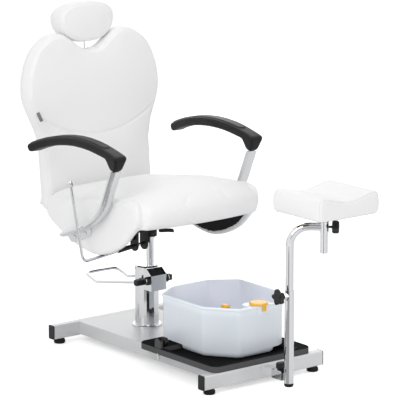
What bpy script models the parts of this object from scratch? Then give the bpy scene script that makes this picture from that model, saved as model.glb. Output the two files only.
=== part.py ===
"""Hydraulic pedicure chair with a foot basin and a swing footrest.

Metres, +Z up. The sitter faces -Y, and +X is the sitter's left. Everything is laid out
round the pump: its axis stands at x = 0, y = 0 and the floor is z = 0. The last step moves
the whole chair so that the origin is under the middle of its bounding box.
"""

import math

import bmesh
import bpy
from mathutils import Matrix, Vector

# Clearances
CLEAR = 0.0003
RUN = 0.0004

# Base bars, plate, caps and feet
BAR_DEPTH = 0.030
BAR_HEIGHT = 0.047
BAR_WALL = 0.002
BAR_CORNER = 0.004
BAR_LIFT = 0.017
REAR_BAR_Y = 0.185
REAR_BAR_LENGTH = 0.514
FRONT_BAR_Y = -0.601
FRONT_BAR_LENGTH = 0.484
CAP_FLANGE = 0.003
CAP_PLUG = 0.016
PLATE_WIDTH = 0.310
PLATE_SHEET = 0.003
PLATE_SKIRT = 0.043
FOOT_RADIUS = 0.019
FOOT_TREAD = 0.0165
FOOT_INSET = 0.030

# Tray and its clamp knob
TRAY_WIDTH = 0.400
TRAY_DEPTH = 0.396
TRAY_FRONT_Y = -0.612
TRAY_HEIGHT = 0.021
TRAY_FLOOR = 0.006
TRAY_RIM = 0.012
TRAY_RIM_REAR = 0.110
TRAY_RIM_LEFT = 0.045
TRAY_CORNER = 0.026
TRAY_KNOB_Y = -0.318
TRAY_KNOB_RADIUS = 0.014
TRAY_KNOB_DEPTH = 0.014
TRAY_STUD_RADIUS = 0.004
TRAY_STUD_LENGTH = 0.012
TRAY_LUG_HEIGHT = 0.052
TRAY_LUG_WIDTH = 0.030

# Basin
BASIN_X = 0.042
BASIN_Y = -0.3655
BASIN_HALF_X = 0.165
BASIN_HALF_Y = 0.1875
BASIN_FRONT_CUT = (0.074, 0.100)
BASIN_REAR_CUT = (0.090, 0.058)
BASIN_CORNER = 0.014
BASIN_RIM_Z = 0.235
BASIN_WALL = 0.004
BASIN_HEEL = 0.014
BASIN_LIP = 0.004
BASIN_LIP_HEIGHT = 0.008
BASIN_FOOT_GAP = 0.003
BASIN_STEP = 0.001
BASIN_OVER_TRAY = 0.003
LEDGE_LENGTH = 0.092
LEDGE_DEPTH = 0.052
LEDGE_DROP = 0.045
POST_RADIUS = 0.016
POST_HEIGHT = 0.093
MASSAGE_RADIUS = 0.015
MASSAGE_HEIGHT = 0.014
DIAL_RADIUS = 0.031
DIAL_HEIGHT = 0.007
DIAL_INSET = 0.019
DIAL_SKIRT = 0.0025
DIAL_TAB_DROP = 0.018
DIAL_TAB_ANGLE = math.radians(14.0)
POD_DROP = 0.030

# Pump
FLANGE_RADIUS = 0.0505
FLANGE_HEIGHT = 0.006
COVER_RADIUS = 0.0395
COVER_HEIGHT = 0.2005
COVER_WALL = 0.002
COVER_TOP = 0.003
PISTON_RADIUS = 0.0125
PISTON_Y = -0.0185
PISTON_BOTTOM = 0.135
PISTON_COLLAR_RADIUS = 0.017
PISTON_COLLAR_HEIGHT = 0.006
CYLINDER_RADIUS = 0.018
CYLINDER_SHORT = 0.006
SNOUT_WIDTH = 0.063
SNOUT_Y = -0.066
SNOUT_HEIGHT = 0.072
SNOUT_TOP_DROP = 0.0055
SNOUT_SLANT_DEPTH = 0.025
SNOUT_SLANT_DROP = 0.020
SNOUT_WALL = 0.003

# Pedal
PEDAL_AXIS_Y = -0.054
PEDAL_AXIS_Z = 0.229
PEDAL_SHAFT_RADIUS = 0.006
PEDAL_LUG_THICK = 0.010
PEDAL_LUG_RADIUS = 0.014
PEDAL_LUG_REACH = 0.028
PEDAL_BOLT_RADIUS = 0.009
PEDAL_BOLT_HEIGHT = 0.006
PEDAL_ROD_RADIUS = 0.0046
PEDAL_HALF_WIDTH = 0.066
PEDAL_DIP_Y = 0.195
PEDAL_DIP_Z = 0.183
PEDAL_END_Y = 0.259
PEDAL_END_Z = 0.201
PEDAL_CORNER = 0.022
PLUNGER_RADIUS = 0.004
PLUNGER_LENGTH = 0.022
PLUNGER_ARM = 0.0125
FINGER_WIDTH = 0.012
FINGER_DROP = 0.0045

# Seat hub, carrier and board
SEAT_TILT = math.radians(4.3)
BOARD_Z = 0.4465
BOARD_THICK = 0.015
BOARD_INSET = 0.012
BOARD_FRONT_INSET = 0.060
CARRIER_WIDTH = 0.210
CARRIER_LENGTH = 0.250
CARRIER_THICK = 0.004
CARRIER_Y = 0.015
HUB_RADIUS = 0.023
HUB_BOTTOM = 0.372
PISTON_STOP = 0.004

# Seat cushion and side panels
SEAT_REAR_Y = 0.234
SEAT_REAR_TOP = 0.497
SEAT_SHOULDER_Y = -0.165
SEAT_SHOULDER_TOP = 0.551
SEAT_FRONT_Y = -0.308
SEAT_NOSE_Z = 0.496
SEAT_LIP = 0.022
SEAT_BOXY = 0.6
SEAT_BULGE = 0.030
SEAT_CROWN = 0.034
SEAT_HALF_WIDTH = 0.228
SEAT_EDGE_ROUND = 0.007
PANEL_THICK = 0.026
PANEL_SWELL = 0.002
PANEL_EDGE = 0.010
PANEL_REAR_Y = 0.222
PANEL_REAR_LOW = 0.440
PANEL_NOSE_AHEAD = 0.008
PANEL_BELLY_Y = -0.020
PANEL_BELLY_Z = 0.350

# Armrests
PAD_WIDTH = 0.050
PAD_THICK = 0.028
PAD_REAR = (0.224, 0.667)
PAD_CROWN = (-0.040, 0.722)
PAD_FRONT = (-0.200, 0.700)
PAD_NOSE = 0.040
PAD_BLOCK_DROP = 0.046
PAD_BLOCK_WIDTH = 0.028
PAD_BLOCK_TAPER = 0.52
PAD_EDGE = 0.006
PAD_FLARE = 0.018
ARM_X = 0.279
ARM_TUBE_WIDE = 0.044
ARM_TUBE_THICK = 0.018
ARM_ELBOW = (-0.130, 0.480)
ARM_END = (0.075, 0.400)
ARM_BEND = 0.200
ARM_PLATE_LENGTH = 0.130
ARM_PLATE_WIDTH = 0.040
ARM_PLATE_THICK = 0.0042
ARM_BOLT_RADIUS = 0.007
ARM_BOLT_HEIGHT = 0.0035
ARM_BOLT_PITCH = 0.062
ARM_PLATE_DROP = 0.012

# Recline lever and its bracket
LEVER_X = -0.309
LEVER_Y = -0.068
LEVER_Z = 0.337
LEVER_RISE = math.radians(4.6)
LEVER_YAW = math.radians(5.2)
LEVER_ROD_RADIUS = 0.005
LEVER_REACH = 0.266
LEVER_HEIGHT = 0.241
LEVER_LEAN = math.radians(15.0)
LEVER_BEND = 0.018
LEVER_KNOB_RADIUS = 0.013
LEVER_SLEEVE_RADIUS = 0.0075
LEVER_SLEEVE_START = 0.152
LEVER_SLEEVE_LENGTH = 0.058
BRACKET_X = -0.065
BRACKET_SPAN = 0.044
BRACKET_SHEET = 0.005
BRACKET_DEPTH = 0.040
BRACKET_NUT_RADIUS = 0.008
BRACKET_NUT_HEIGHT = 0.006
BRACKET_NUT_LIFT = 0.026

# Swivel lock paddle
PADDLE_X = 0.020
PADDLE_Y = -0.052
PADDLE_Z = 0.388
PADDLE_LENGTH = 0.042
PADDLE_WIDTH = 0.022
PADDLE_SHEET = 0.008
PADDLE_TURN = math.radians(-28.0)
PADDLE_DROOP = 0.002
PADDLE_PIN_RADIUS = 0.005

# Backrest, its board and hinges
BACK_TILT = math.radians(5.0)
BACK_FACE_Y = 0.243
BACK_BOTTOM_Z = 0.445
BACK_WAIST = 0.214
BACK_WAIST_H = 0.200
BACK_WIDEST = 0.269
BACK_WIDEST_H = 0.385
BACK_SHOULDER = 0.130
BACK_SHOULDER_H = 0.576
BACK_NOTCH_H = 0.513
BACK_NOTCH_FLAT = 0.016
BACK_DEPTH_LOW = 0.068
BACK_DEPTH_HIGH = 0.076
BACK_EDGE = 0.011
BACK_CROWN = 0.008
BACK_SWELL = 0.004
BACK_SEAM_SIDE_H = 0.312
BACK_SEAM_MID_H = 0.232
BACK_SEAM_DEPTH = 0.004
BACK_SEAM_HALF = 0.007
BACK_BOARD = 0.010
BACK_BOARD_INSET = 0.010
HINGE_Y = 0.302
HINGE_Z = 0.424
HINGE_X = 0.130
KNUCKLE_RADIUS = 0.010
KNUCKLE_GAP = 0.0005
HINGE_WIDTH = 0.040
HINGE_EYE = 0.013
HINGE_SHEET = 0.005
HINGE_PIN_RADIUS = 0.005
HINGE_PIN_HEAD = 0.003
HINGE_STRAP_HEIGHT = 0.190
HINGE_STRAP_EDGE = 0.012
HINGE_FOOT_Y = 0.070

# Headrest
HEAD_HALF_WIDTH = 0.110
HEAD_OVER_NOTCH = 0.025
HEAD_TOP = 0.052
HEAD_BOTTOM = 0.084
HEAD_SETBACK = 0.022
HEAD_DEPTH = 0.090
HEAD_SQUARE = 2.3
HEAD_ROUND = 0.022
HEAD_CROWN = 0.006
STEM_WIDTH = 0.014
STEM_THICK = 0.006
STEM_DEPTH = 0.044
STEM_OVER_GUIDE = 0.020
STEM_IN_PAD = 0.050
GUIDE_WALL = 0.0025
GUIDE_LOW_H = 0.320
GUIDE_SHORT = 0.006

# Footrest receiver, sleeve, carrier and posts
RECEIVER_Z = 0.047
RECEIVER_SIDE = 0.025
RECEIVER_WALL = 0.002
RECEIVER_REAR_Y = -0.500
RECEIVER_FRONT_Y = -0.690
SLEEVE_LENGTH = 0.045
SLEEVE_OVERHANG = 0.024
SLEEVE_WALL = 0.0025
CARRIER_KNOB_RADIUS = 0.013
CARRIER_KNOB_HEIGHT = 0.020
CARRIER_KNOB_NECK = 0.004
POST_Y = -0.735
POST_BOTTOM = 0.028
POST_TOP = 0.328
POST_OUTER = 0.015
POST_WALL = 0.0018
POST_CAP_HEIGHT = 0.011
POST_CAP_PLUG = 0.014
CARRIER_BAR_LENGTH = 0.205
CLAMP_Z = 0.311
CLAMP_NUT_RADIUS = 0.011
CLAMP_NUT_LENGTH = 0.011
STAR_RADIUS = 0.0215
STAR_DEPTH = 0.018
STAR_STUD = 0.010
STAR_STUD_RADIUS = 0.004
UPPER_OUTER = 0.0127
UPPER_WALL = 0.0018
UPPER_BOTTOM = 0.165
ARM_HEIGHT = 0.532
ARM_REACH = 0.106
ARM_RADIUS = 0.062
ARM_TURN = math.radians(46.0)
COLLAR_OUTER = 0.0143
COLLAR_HEIGHT = 0.036
PADSTEM_OUTER = 0.0120
PADSTEM_WALL = 0.0018
PADSTEM_BOTTOM = 0.449
COLLAR_KNOB_RADIUS = 0.0175
COLLAR_KNOB_DEPTH = 0.022
COLLAR_KNOB_STUD = 0.010
COLLAR_KNOB_STUD_RADIUS = 0.004

# Footrest pad
REST_WIDTH = 0.243
REST_LENGTH = 0.228
REST_SHIFT = 0.006
REST_BOTTOM = 0.571
REST_BOARD = 0.006
REST_BOARD_INSET = 0.030
REST_HEIGHT = 0.0725
REST_TROUGH = 0.019
REST_EDGE = 0.014
REST_SWELL = 0.003
REST_PLATE = 0.140
REST_PLATE_THICK = 0.004

# Facets
ROUND = 28
FINE = 20
SMALL = 14


def bar_top():
    return BAR_LIFT + BAR_HEIGHT


def tray_floor_top():
    return bar_top() + CLEAR + TRAY_FLOOR


def basin_bottom():
    return tray_floor_top() + CLEAR


def flange_top():
    return bar_top() + CLEAR + FLANGE_HEIGHT


def cover_top():
    return flange_top() + CLEAR + COVER_HEIGHT


def board_top_at(y):
    """Height of the seat board's upper face, which falls towards the back."""
    return BOARD_Z - math.tan(SEAT_TILT) * (y - PISTON_Y)


def board_under_at(y):
    return board_top_at(y) - BOARD_THICK / math.cos(SEAT_TILT)


def carrier_under_at(y):
    return board_under_at(y) - (CLEAR + CARRIER_THICK) / math.cos(SEAT_TILT)


def panel_outer_x():
    return SEAT_HALF_WIDTH + CLEAR + PANEL_THICK


def rest_top_plate():
    return REST_BOTTOM - CLEAR


def arm_direction():
    return Vector((math.sin(ARM_TURN), -math.cos(ARM_TURN), 0))


def collar_centre():
    return Vector((0, POST_Y, ARM_HEIGHT)) + arm_direction() * ARM_REACH


def back_point(x, depth, height):
    """A point of the backrest: depth runs back from its face, height runs up along it."""
    y = BACK_FACE_Y + depth * math.cos(BACK_TILT) + height * math.sin(BACK_TILT)
    z = BACK_BOTTOM_Z - depth * math.sin(BACK_TILT) + height * math.cos(BACK_TILT)
    return Vector((x, y, z))


def back_depth(height):
    """Thickness of cushion and board together, which grows towards the shoulders."""
    return BACK_DEPTH_LOW + (BACK_DEPTH_HIGH - BACK_DEPTH_LOW) * height / BACK_SHOULDER_H


def smoothstep(value):
    value = min(max(value, 0.0), 1.0)
    return value * value * (3 - 2 * value)


def lerp(a, b, share):
    return a + (b - a) * share


# Scene, materials and bodies

PIVOTS = {}
EMPTIES = {}


def clear_scene():
    for obj in list(bpy.data.objects):
        bpy.data.objects.remove(obj, do_unlink=True)


def material(name, colour, metallic, roughness):
    found = bpy.data.materials.get(name)
    if found:
        return found
    made = bpy.data.materials.new(name)
    made.use_nodes = True
    shader = made.node_tree.nodes["Principled BSDF"]
    shader.inputs["Base Color"].default_value = (*colour, 1.0)
    shader.inputs["Metallic"].default_value = metallic
    shader.inputs["Roughness"].default_value = roughness
    return made


def silver_paint():
    return material("silver paint", (0.62, 0.62, 0.63), 0.4, 0.45)


def chrome():
    return material("chrome", (0.80, 0.80, 0.81), 1.0, 0.08)


def dark_steel():
    return material("black steel", (0.03, 0.03, 0.032), 0.5, 0.45)


def black_plastic():
    return material("black plastic", (0.035, 0.035, 0.037), 0.0, 0.45)


def black_rubber():
    return material("black rubber", (0.02, 0.02, 0.02), 0.0, 0.8)


def white_leather():
    return material("white leatherette", (0.80, 0.80, 0.80), 0.0, 0.45)


def plywood():
    return material("black plywood", (0.02, 0.02, 0.02), 0.0, 0.9)


def basin_plastic():
    return material("pale blue plastic", (0.70, 0.76, 0.84), 0.0, 0.3)


def yellow_plastic():
    return material("yellow plastic", (0.85, 0.50, 0.02), 0.0, 0.4)


def body(name, parent, at):
    """An empty on a joint's axis. The pieces that move with it are its children."""
    empty = bpy.data.objects.new(f"{name} axis", None)
    bpy.context.scene.collection.objects.link(empty)
    at = Vector(at)
    PIVOTS[name] = at
    EMPTIES[name] = empty
    if parent:
        empty.parent = EMPTIES[parent]
        empty.location = at - PIVOTS[parent]
    else:
        empty.location = at
    return empty


def piece(name, shape, owner, finish, sharp=35.0):
    """Turns a bmesh in chair coordinates into a named object under its body's empty."""
    bmesh.ops.recalc_face_normals(shape, faces=shape.faces)
    bmesh.ops.translate(shape, verts=shape.verts, vec=-PIVOTS[owner])
    mesh = bpy.data.meshes.new(name)
    shape.to_mesh(mesh)
    shape.free()
    mesh.shade_smooth()
    mesh.set_sharp_from_angle(angle=math.radians(sharp))
    obj = bpy.data.objects.new(name, mesh)
    bpy.context.scene.collection.objects.link(obj)
    obj.parent = EMPTIES[owner]
    if finish:
        mesh.materials.append(finish)
    return obj


def combine(obj, shape, owner, operation):
    """Joins another shape to obj, or cuts it away, with a Boolean on a hidden helper."""
    helper = piece(f"{obj.name} {operation.lower()} {len(obj.modifiers)}", shape, owner, None)
    helper.hide_render = True
    helper.display_type = "WIRE"
    boolean = obj.modifiers.new(operation.title(), "BOOLEAN")
    boolean.operation = operation
    boolean.solver = "EXACT"
    boolean.object = helper
    return obj


# Outlines

def rounded_rect(width, height, radius, steps=3):
    """Corner points of a rounded rectangle about the origin, counter-clockwise."""
    points = []
    corners = ((1, 1, 0), (-1, 1, 90), (-1, -1, 180), (1, -1, 270))
    for side_a, side_b, start in corners:
        centre_a = side_a * (width / 2 - radius)
        centre_b = side_b * (height / 2 - radius)
        for step in range(steps + 1):
            angle = math.radians(start + 90 * step / steps)
            points.append((centre_a + radius * math.cos(angle), centre_b + radius * math.sin(angle)))
    return points


def circle(radius, count, start=0.0):
    angles = [start + 2 * math.pi * i / count for i in range(count)]
    return [(radius * math.cos(a), radius * math.sin(a)) for a in angles]


def lobed(radius, swing, lobes, count):
    """Outline of a hand knob with rounded lobes."""
    points = []
    for i in range(count):
        angle = 2 * math.pi * i / count
        reach = radius * (1 + swing * math.cos(lobes * angle))
        points.append((reach * math.cos(angle), reach * math.sin(angle)))
    return points


def round_corners(points, radius, steps=4):
    """Replaces each corner of a closed outline with an arc of about the given radius."""
    result = []
    count = len(points)
    for i in range(count):
        here = Vector(points[i])
        before = Vector(points[i - 1]) - here
        after = Vector(points[(i + 1) % count]) - here
        reach = min(radius, before.length * 0.45, after.length * 0.45)
        first = here + before.normalized() * reach
        last = here + after.normalized() * reach
        for step in range(steps + 1):
            share = step / steps
            low = first.lerp(here, share)
            high = here.lerp(last, share)
            result.append(tuple(low.lerp(high, share)))
    return result


def inset(points, distance):
    """A counter-clockwise outline drawn in along its normals, or out for a negative distance."""
    result = []
    count = len(points)
    for i in range(count):
        along = Vector(points[(i + 1) % count]) - Vector(points[i - 1])
        along.normalize()
        result.append((points[i][0] - along.y * distance, points[i][1] + along.x * distance))
    return result


def scaled(points, share, centre):
    return [(lerp(centre[0], a, share), lerp(centre[1], b, share)) for a, b in points]


def arc_through(first, middle, last, steps):
    """Points of the circle arc through three points, and the arc's centre."""
    ax, ay = first
    bx, by = middle
    cx, cy = last
    double = 2 * (ax * (by - cy) + bx * (cy - ay) + cx * (ay - by))
    squares = (ax * ax + ay * ay, bx * bx + by * by, cx * cx + cy * cy)
    centre_a = (squares[0] * (by - cy) + squares[1] * (cy - ay) + squares[2] * (ay - by)) / double
    centre_b = (squares[0] * (cx - bx) + squares[1] * (ax - cx) + squares[2] * (bx - ax)) / double
    radius = math.hypot(ax - centre_a, ay - centre_b)
    start = math.atan2(ay - centre_b, ax - centre_a)
    end = math.atan2(cy - centre_b, cx - centre_a)
    angles = [lerp(start, end, i / steps) for i in range(steps + 1)]
    return (centre_a, centre_b), radius, angles


# Solids

def on_axis(axis, a, b, along):
    if axis == "X":
        return Vector((along, a, b))
    if axis == "Y":
        return Vector((a, along, b))
    return Vector((a, b, along))


def ring(outline, axis, along, centre=(0.0, 0.0)):
    return [on_axis(axis, centre[0] + a, centre[1] + b, along) for a, b in outline]


def stacked(rings, closed=False):
    """Bridges rings of equal count. Open stacks get an end face each, closed ones join up."""
    shape = bmesh.new()
    loops = [[shape.verts.new(point) for point in one] for one in rings]
    count = len(loops[0])
    pairs = list(zip(loops, loops[1:]))
    if closed:
        pairs.append((loops[-1], loops[0]))
    for low, high in pairs:
        for i in range(count):
            j = (i + 1) % count
            shape.faces.new((low[i], low[j], high[j], high[i]))
    if not closed:
        shape.faces.new(loops[0])
        shape.faces.new(loops[-1])
    return shape


def extruded(outline, axis, low, high, centre=(0.0, 0.0)):
    shape = bmesh.new()
    face = shape.faces.new([shape.verts.new(p) for p in ring(outline, axis, low, centre)])
    grown = bmesh.ops.extrude_face_region(shape, geom=[face])
    moved = [item for item in grown["geom"] if isinstance(item, bmesh.types.BMVert)]
    bmesh.ops.translate(shape, verts=moved, vec=on_axis(axis, 0, 0, high - low))
    return shape


def hollow(outer, inner, axis, low, high, centre=(0.0, 0.0)):
    """A straight tube of any section, open at both ends."""
    order = ((outer, low), (outer, high), (inner, high), (inner, low))
    return stacked([ring(outline, axis, along, centre) for outline, along in order], closed=True)


def block(size, centre, soften=0.0):
    shape = bmesh.new()
    bmesh.ops.create_cube(shape, size=1.0)
    bmesh.ops.scale(shape, vec=Vector(size), verts=shape.verts)
    bmesh.ops.translate(shape, vec=Vector(centre), verts=shape.verts)
    if soften:
        bmesh.ops.bevel(shape, geom=shape.edges[:], offset=soften, segments=2, profile=0.5, affect="EDGES")
    return shape


def turned(profile, centre, axis="Z", count=ROUND):
    """Spins a profile of (radius, height) points about an axis through centre."""
    shape = bmesh.new()
    points = [shape.verts.new((radius, 0, height)) for radius, height in profile]
    closing = profile[0][0] > 0 and profile[-1][0] > 0
    links = list(zip(points, points[1:]))
    if closing:
        links.append((points[-1], points[0]))
    edges = [shape.edges.new(link) for link in links]
    bmesh.ops.spin(
        shape,
        geom=points + edges,
        cent=(0, 0, 0),
        axis=(0, 0, 1),
        angle=2 * math.pi,
        steps=count,
        use_merge=True,
    )
    bmesh.ops.remove_doubles(shape, verts=shape.verts, dist=1e-6)
    turns = {
        "X": Matrix.Rotation(math.pi / 2, 4, "Y"),
        "Y": Matrix.Rotation(-math.pi / 2, 4, "X"),
        "Z": Matrix.Identity(4),
    }
    bmesh.ops.transform(shape, matrix=turns[axis], verts=shape.verts)
    bmesh.ops.translate(shape, vec=Vector(centre), verts=shape.verts)
    return shape


def rod(radius, low, high, centre, axis="Z", count=ROUND):
    return turned([(0, low), (radius, low), (radius, high), (0, high)], centre, axis, count)


def filleted(points, radius, steps=8):
    """A path of straight runs whose corners are arcs of the given radius."""
    path = [Vector(points[0])]
    for before, here, after in zip(points, points[1:], points[2:]):
        here = Vector(here)
        back = (Vector(before) - here).normalized()
        on = (Vector(after) - here).normalized()
        half = back.angle(on) / 2
        reach = radius / math.tan(half)
        centre = here + (back + on).normalized() * (radius / math.sin(half))
        start = here + back * reach - centre
        end = here + on * reach - centre
        normal = start.cross(end).normalized()
        sweep_angle = start.angle(end)
        for step in range(steps + 1):
            turn = Matrix.Rotation(sweep_angle * step / steps, 3, normal)
            path.append(centre + turn @ start)
    path.append(Vector(points[-1]))
    return path


def frames(path, side):
    """Tangent and two cross directions along a path. side is the first one's rough direction."""
    result = []
    side = Vector(side)
    for i, point in enumerate(path):
        ahead = path[min(i + 1, len(path) - 1)] - point
        behind = point - path[max(i - 1, 0)]
        tangent = (ahead.normalized() + behind.normalized()).normalized()
        side = (side - tangent * side.dot(tangent)).normalized()
        result.append((point, tangent, side, tangent.cross(side)))
    return result


def sections(path, outline, side):
    rings = []
    for point, _, across, up in frames(path, side):
        rings.append([point + across * a + up * b for a, b in outline])
    return rings


def cut_end(points, along, index, value):
    """Slides the points of an end ring along the tube until one coordinate has the given value."""
    return [point + along * ((value - point[index]) / along[index]) for point in points]


def swept(path, outline, side):
    """Carries an outline along a path, with an end face at each end."""
    return stacked(sections(path, outline, side))


def swept_tube(path, outer, inner, side):
    outside = []
    inside = []
    for point, _, across, up in frames(path, side):
        outside.append([point + across * a + up * b for a, b in outer])
        inside.append([point + across * a + up * b for a, b in inner])
    return stacked(outside + inside[::-1], closed=True)


# Base

def hollow_bar(name, length, y, hole=None):
    outer = rounded_rect(BAR_DEPTH, BAR_HEIGHT, BAR_CORNER)
    inner = rounded_rect(BAR_DEPTH - 2 * BAR_WALL, BAR_HEIGHT - 2 * BAR_WALL, BAR_CORNER / 2)
    shape = hollow(outer, inner, "X", -length / 2, length / 2, (y, BAR_LIFT + BAR_HEIGHT / 2))
    obj = piece(name, shape, "base", silver_paint())
    if hole:
        combine(obj, hole, "base", "DIFFERENCE")
    return obj


def bar_caps(prefix, length, y):
    outer = rounded_rect(BAR_DEPTH, BAR_HEIGHT, BAR_CORNER)
    gap = 2 * (BAR_WALL + CLEAR)
    plug = rounded_rect(BAR_DEPTH - gap, BAR_HEIGHT - gap, BAR_CORNER / 2)
    centre = (y, BAR_LIFT + BAR_HEIGHT / 2)
    for side, word in ((-1, "right"), (1, "left")):
        seat = side * (length / 2 + CLEAR)
        stations = (
            (plug, seat - side * CAP_PLUG),
            (plug, seat),
            (outer, seat),
            (outer, seat + side * CAP_FLANGE),
        )
        shape = stacked([ring(outline, "X", along, centre) for outline, along in stations])
        piece(f"{prefix}_cap_{word}", shape, "base", black_plastic())


def feet(prefix, length, y):
    top = BAR_LIFT - CLEAR
    profile = [
        (0, 0),
        (FOOT_RADIUS * 0.9, 0),
        (FOOT_RADIUS, FOOT_TREAD * 0.2),
        (FOOT_RADIUS, FOOT_TREAD * 0.65),
        (FOOT_RADIUS * 0.75, top),
        (0, top),
    ]
    for side, word in ((-1, "right"), (1, "left")):
        at = (side * (length / 2 - FOOT_INSET), y, 0)
        piece(f"{prefix}_foot_{word}", turned(profile, at, count=FINE), "base", black_rubber())


def base_plate():
    low_y = FRONT_BAR_Y + BAR_DEPTH / 2 + CLEAR
    high_y = REAR_BAR_Y - BAR_DEPTH / 2 - CLEAR
    half = PLATE_WIDTH / 2
    top = bar_top()
    under = top - PLATE_SKIRT
    thin = PLATE_SHEET
    outline = [
        (-half, under),
        (-half + thin, under),
        (-half + thin, top - thin),
        (half - thin, top - thin),
        (half - thin, under),
        (half, under),
        (half, top),
        (-half, top),
    ]
    piece("base_plate", extruded(outline, "Y", low_y, high_y), "base", silver_paint())


def receiver_outline(side):
    return rounded_rect(side, side, 0.0015, 2)


def build_base():
    hollow_bar("rear_bar", REAR_BAR_LENGTH, REAR_BAR_Y)
    cut = RECEIVER_SIDE + 2 * CLEAR
    hole = block((cut, BAR_DEPTH * 2, cut), (0, FRONT_BAR_Y, RECEIVER_Z))
    hollow_bar("front_bar", FRONT_BAR_LENGTH, FRONT_BAR_Y, hole)
    bar_caps("rear_bar", REAR_BAR_LENGTH, REAR_BAR_Y)
    bar_caps("front_bar", FRONT_BAR_LENGTH, FRONT_BAR_Y)
    feet("rear", REAR_BAR_LENGTH, REAR_BAR_Y)
    feet("front", FRONT_BAR_LENGTH, FRONT_BAR_Y)
    base_plate()


# Tray, clamp knob and basin

def tray_lug_top():
    return bar_top() + CLEAR + TRAY_LUG_HEIGHT


def tray_knob_z():
    return tray_lug_top() - TRAY_LUG_WIDTH / 2


def tray_lug_faces():
    """Outer and inner face of the clamp knob's lug, which stands on the tray's rim."""
    middle = -TRAY_WIDTH / 2 + TRAY_RIM / 2
    return middle - TRAY_RIM * 0.4, middle + TRAY_RIM * 0.4


def build_tray():
    rim_low = bar_top() + CLEAR
    rim_top = rim_low + TRAY_HEIGHT
    floor = rim_low + TRAY_FLOOR
    centre = (0.0, TRAY_FRONT_Y + TRAY_DEPTH / 2)
    steps = 5
    outer = rounded_rect(TRAY_WIDTH, TRAY_DEPTH, TRAY_CORNER, steps)
    soft = rounded_rect(TRAY_WIDTH - 0.004, TRAY_DEPTH - 0.004, TRAY_CORNER - 0.002, steps)
    wide = TRAY_WIDTH - TRAY_RIM - TRAY_RIM_LEFT
    deep = TRAY_DEPTH - TRAY_RIM - TRAY_RIM_REAR
    recess = ((TRAY_RIM - TRAY_RIM_LEFT) / 2, TRAY_FRONT_Y + TRAY_RIM + deep / 2)
    inner = rounded_rect(wide, deep, TRAY_CORNER - TRAY_RIM, steps)
    stations = (
        (outer, rim_low, centre),
        (outer, rim_top - 0.002, centre),
        (soft, rim_top, centre),
        (inner, rim_top, recess),
        (inner, floor, recess),
    )
    shape = stacked([ring(outline, "Z", along, at) for outline, along, at in stations])
    tray = piece("tray", shape, "base", black_plastic())
    half = TRAY_LUG_WIDTH / 2
    arch = [(TRAY_KNOB_Y - half, rim_low + TRAY_FLOOR / 2), (TRAY_KNOB_Y + half, rim_low + TRAY_FLOOR / 2)]
    for i in range(9):
        angle = math.pi * i / 8
        arch.append((TRAY_KNOB_Y + half * math.cos(angle), tray_knob_z() + half * math.sin(angle)))
    lug = extruded(arch, "X", *tray_lug_faces())
    combine(tray, lug, "base", "UNION")


def build_tray_knob():
    face = tray_lug_faces()[1] + CLEAR
    centre = (TRAY_KNOB_Y, tray_knob_z())
    count = 36
    grip = lobed(TRAY_KNOB_RADIUS, 0.08, 6, count)
    stations = (
        (circle(TRAY_STUD_RADIUS, count), face),
        (circle(TRAY_STUD_RADIUS, count), face + TRAY_STUD_LENGTH),
        (scaled(grip, 0.85, (0, 0)), face + TRAY_STUD_LENGTH),
        (grip, face + TRAY_STUD_LENGTH + TRAY_KNOB_DEPTH * 0.2),
        (grip, face + TRAY_STUD_LENGTH + TRAY_KNOB_DEPTH * 0.8),
        (scaled(grip, 0.8, (0, 0)), face + TRAY_STUD_LENGTH + TRAY_KNOB_DEPTH),
    )
    shape = stacked([ring(outline, "X", along, centre) for outline, along in stations])
    piece("tray_knob", shape, "tray knob", black_plastic())


def basin_outline(shrink):
    """The basin's eight-sided plan, drawn in on all sides."""
    half_x = BASIN_HALF_X - shrink
    half_y = BASIN_HALF_Y - shrink
    ease = shrink * (2 - math.sqrt(2))
    front_x, front_y = (cut - ease for cut in BASIN_FRONT_CUT)
    rear_x, rear_y = (cut - ease for cut in BASIN_REAR_CUT)
    corners = [
        (half_x, front_y - half_y),
        (half_x, half_y - rear_y),
        (half_x - rear_x, half_y),
        (rear_x - half_x, half_y),
        (-half_x, half_y - rear_y),
        (-half_x, front_y - half_y),
        (front_x - half_x, -half_y),
        (half_x - front_x, -half_y),
    ]
    return round_corners(corners, BASIN_CORNER, 3)


def basin_foot_outline(shrink):
    """The plan where it goes down into the tray's recess: drawn in at the left and the rear to fit it."""
    side = (TRAY_WIDTH / 2 - TRAY_RIM_LEFT - BASIN_FOOT_GAP - BASIN_X) / BASIN_HALF_X
    rear = (TRAY_FRONT_Y + TRAY_DEPTH - TRAY_RIM_REAR - BASIN_FOOT_GAP - BASIN_Y) / BASIN_HALF_Y
    return [(x * side if x > 0 else x, y * rear if y > 0 else y) for x, y in basin_outline(shrink)]


def basin_belly():
    """Underside of the basin's body, just above the tray's rim. Only its foot goes lower."""
    return bar_top() + CLEAR + TRAY_HEIGHT + BASIN_OVER_TRAY


def basin_floor():
    return basin_belly() + BASIN_WALL


def pod_radius():
    return DIAL_RADIUS - DIAL_SKIRT - RUN


def dial_centre():
    return Vector((BASIN_X, BASIN_Y - BASIN_HALF_Y + DIAL_INSET, BASIN_RIM_Z + 2 * CLEAR))


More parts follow.
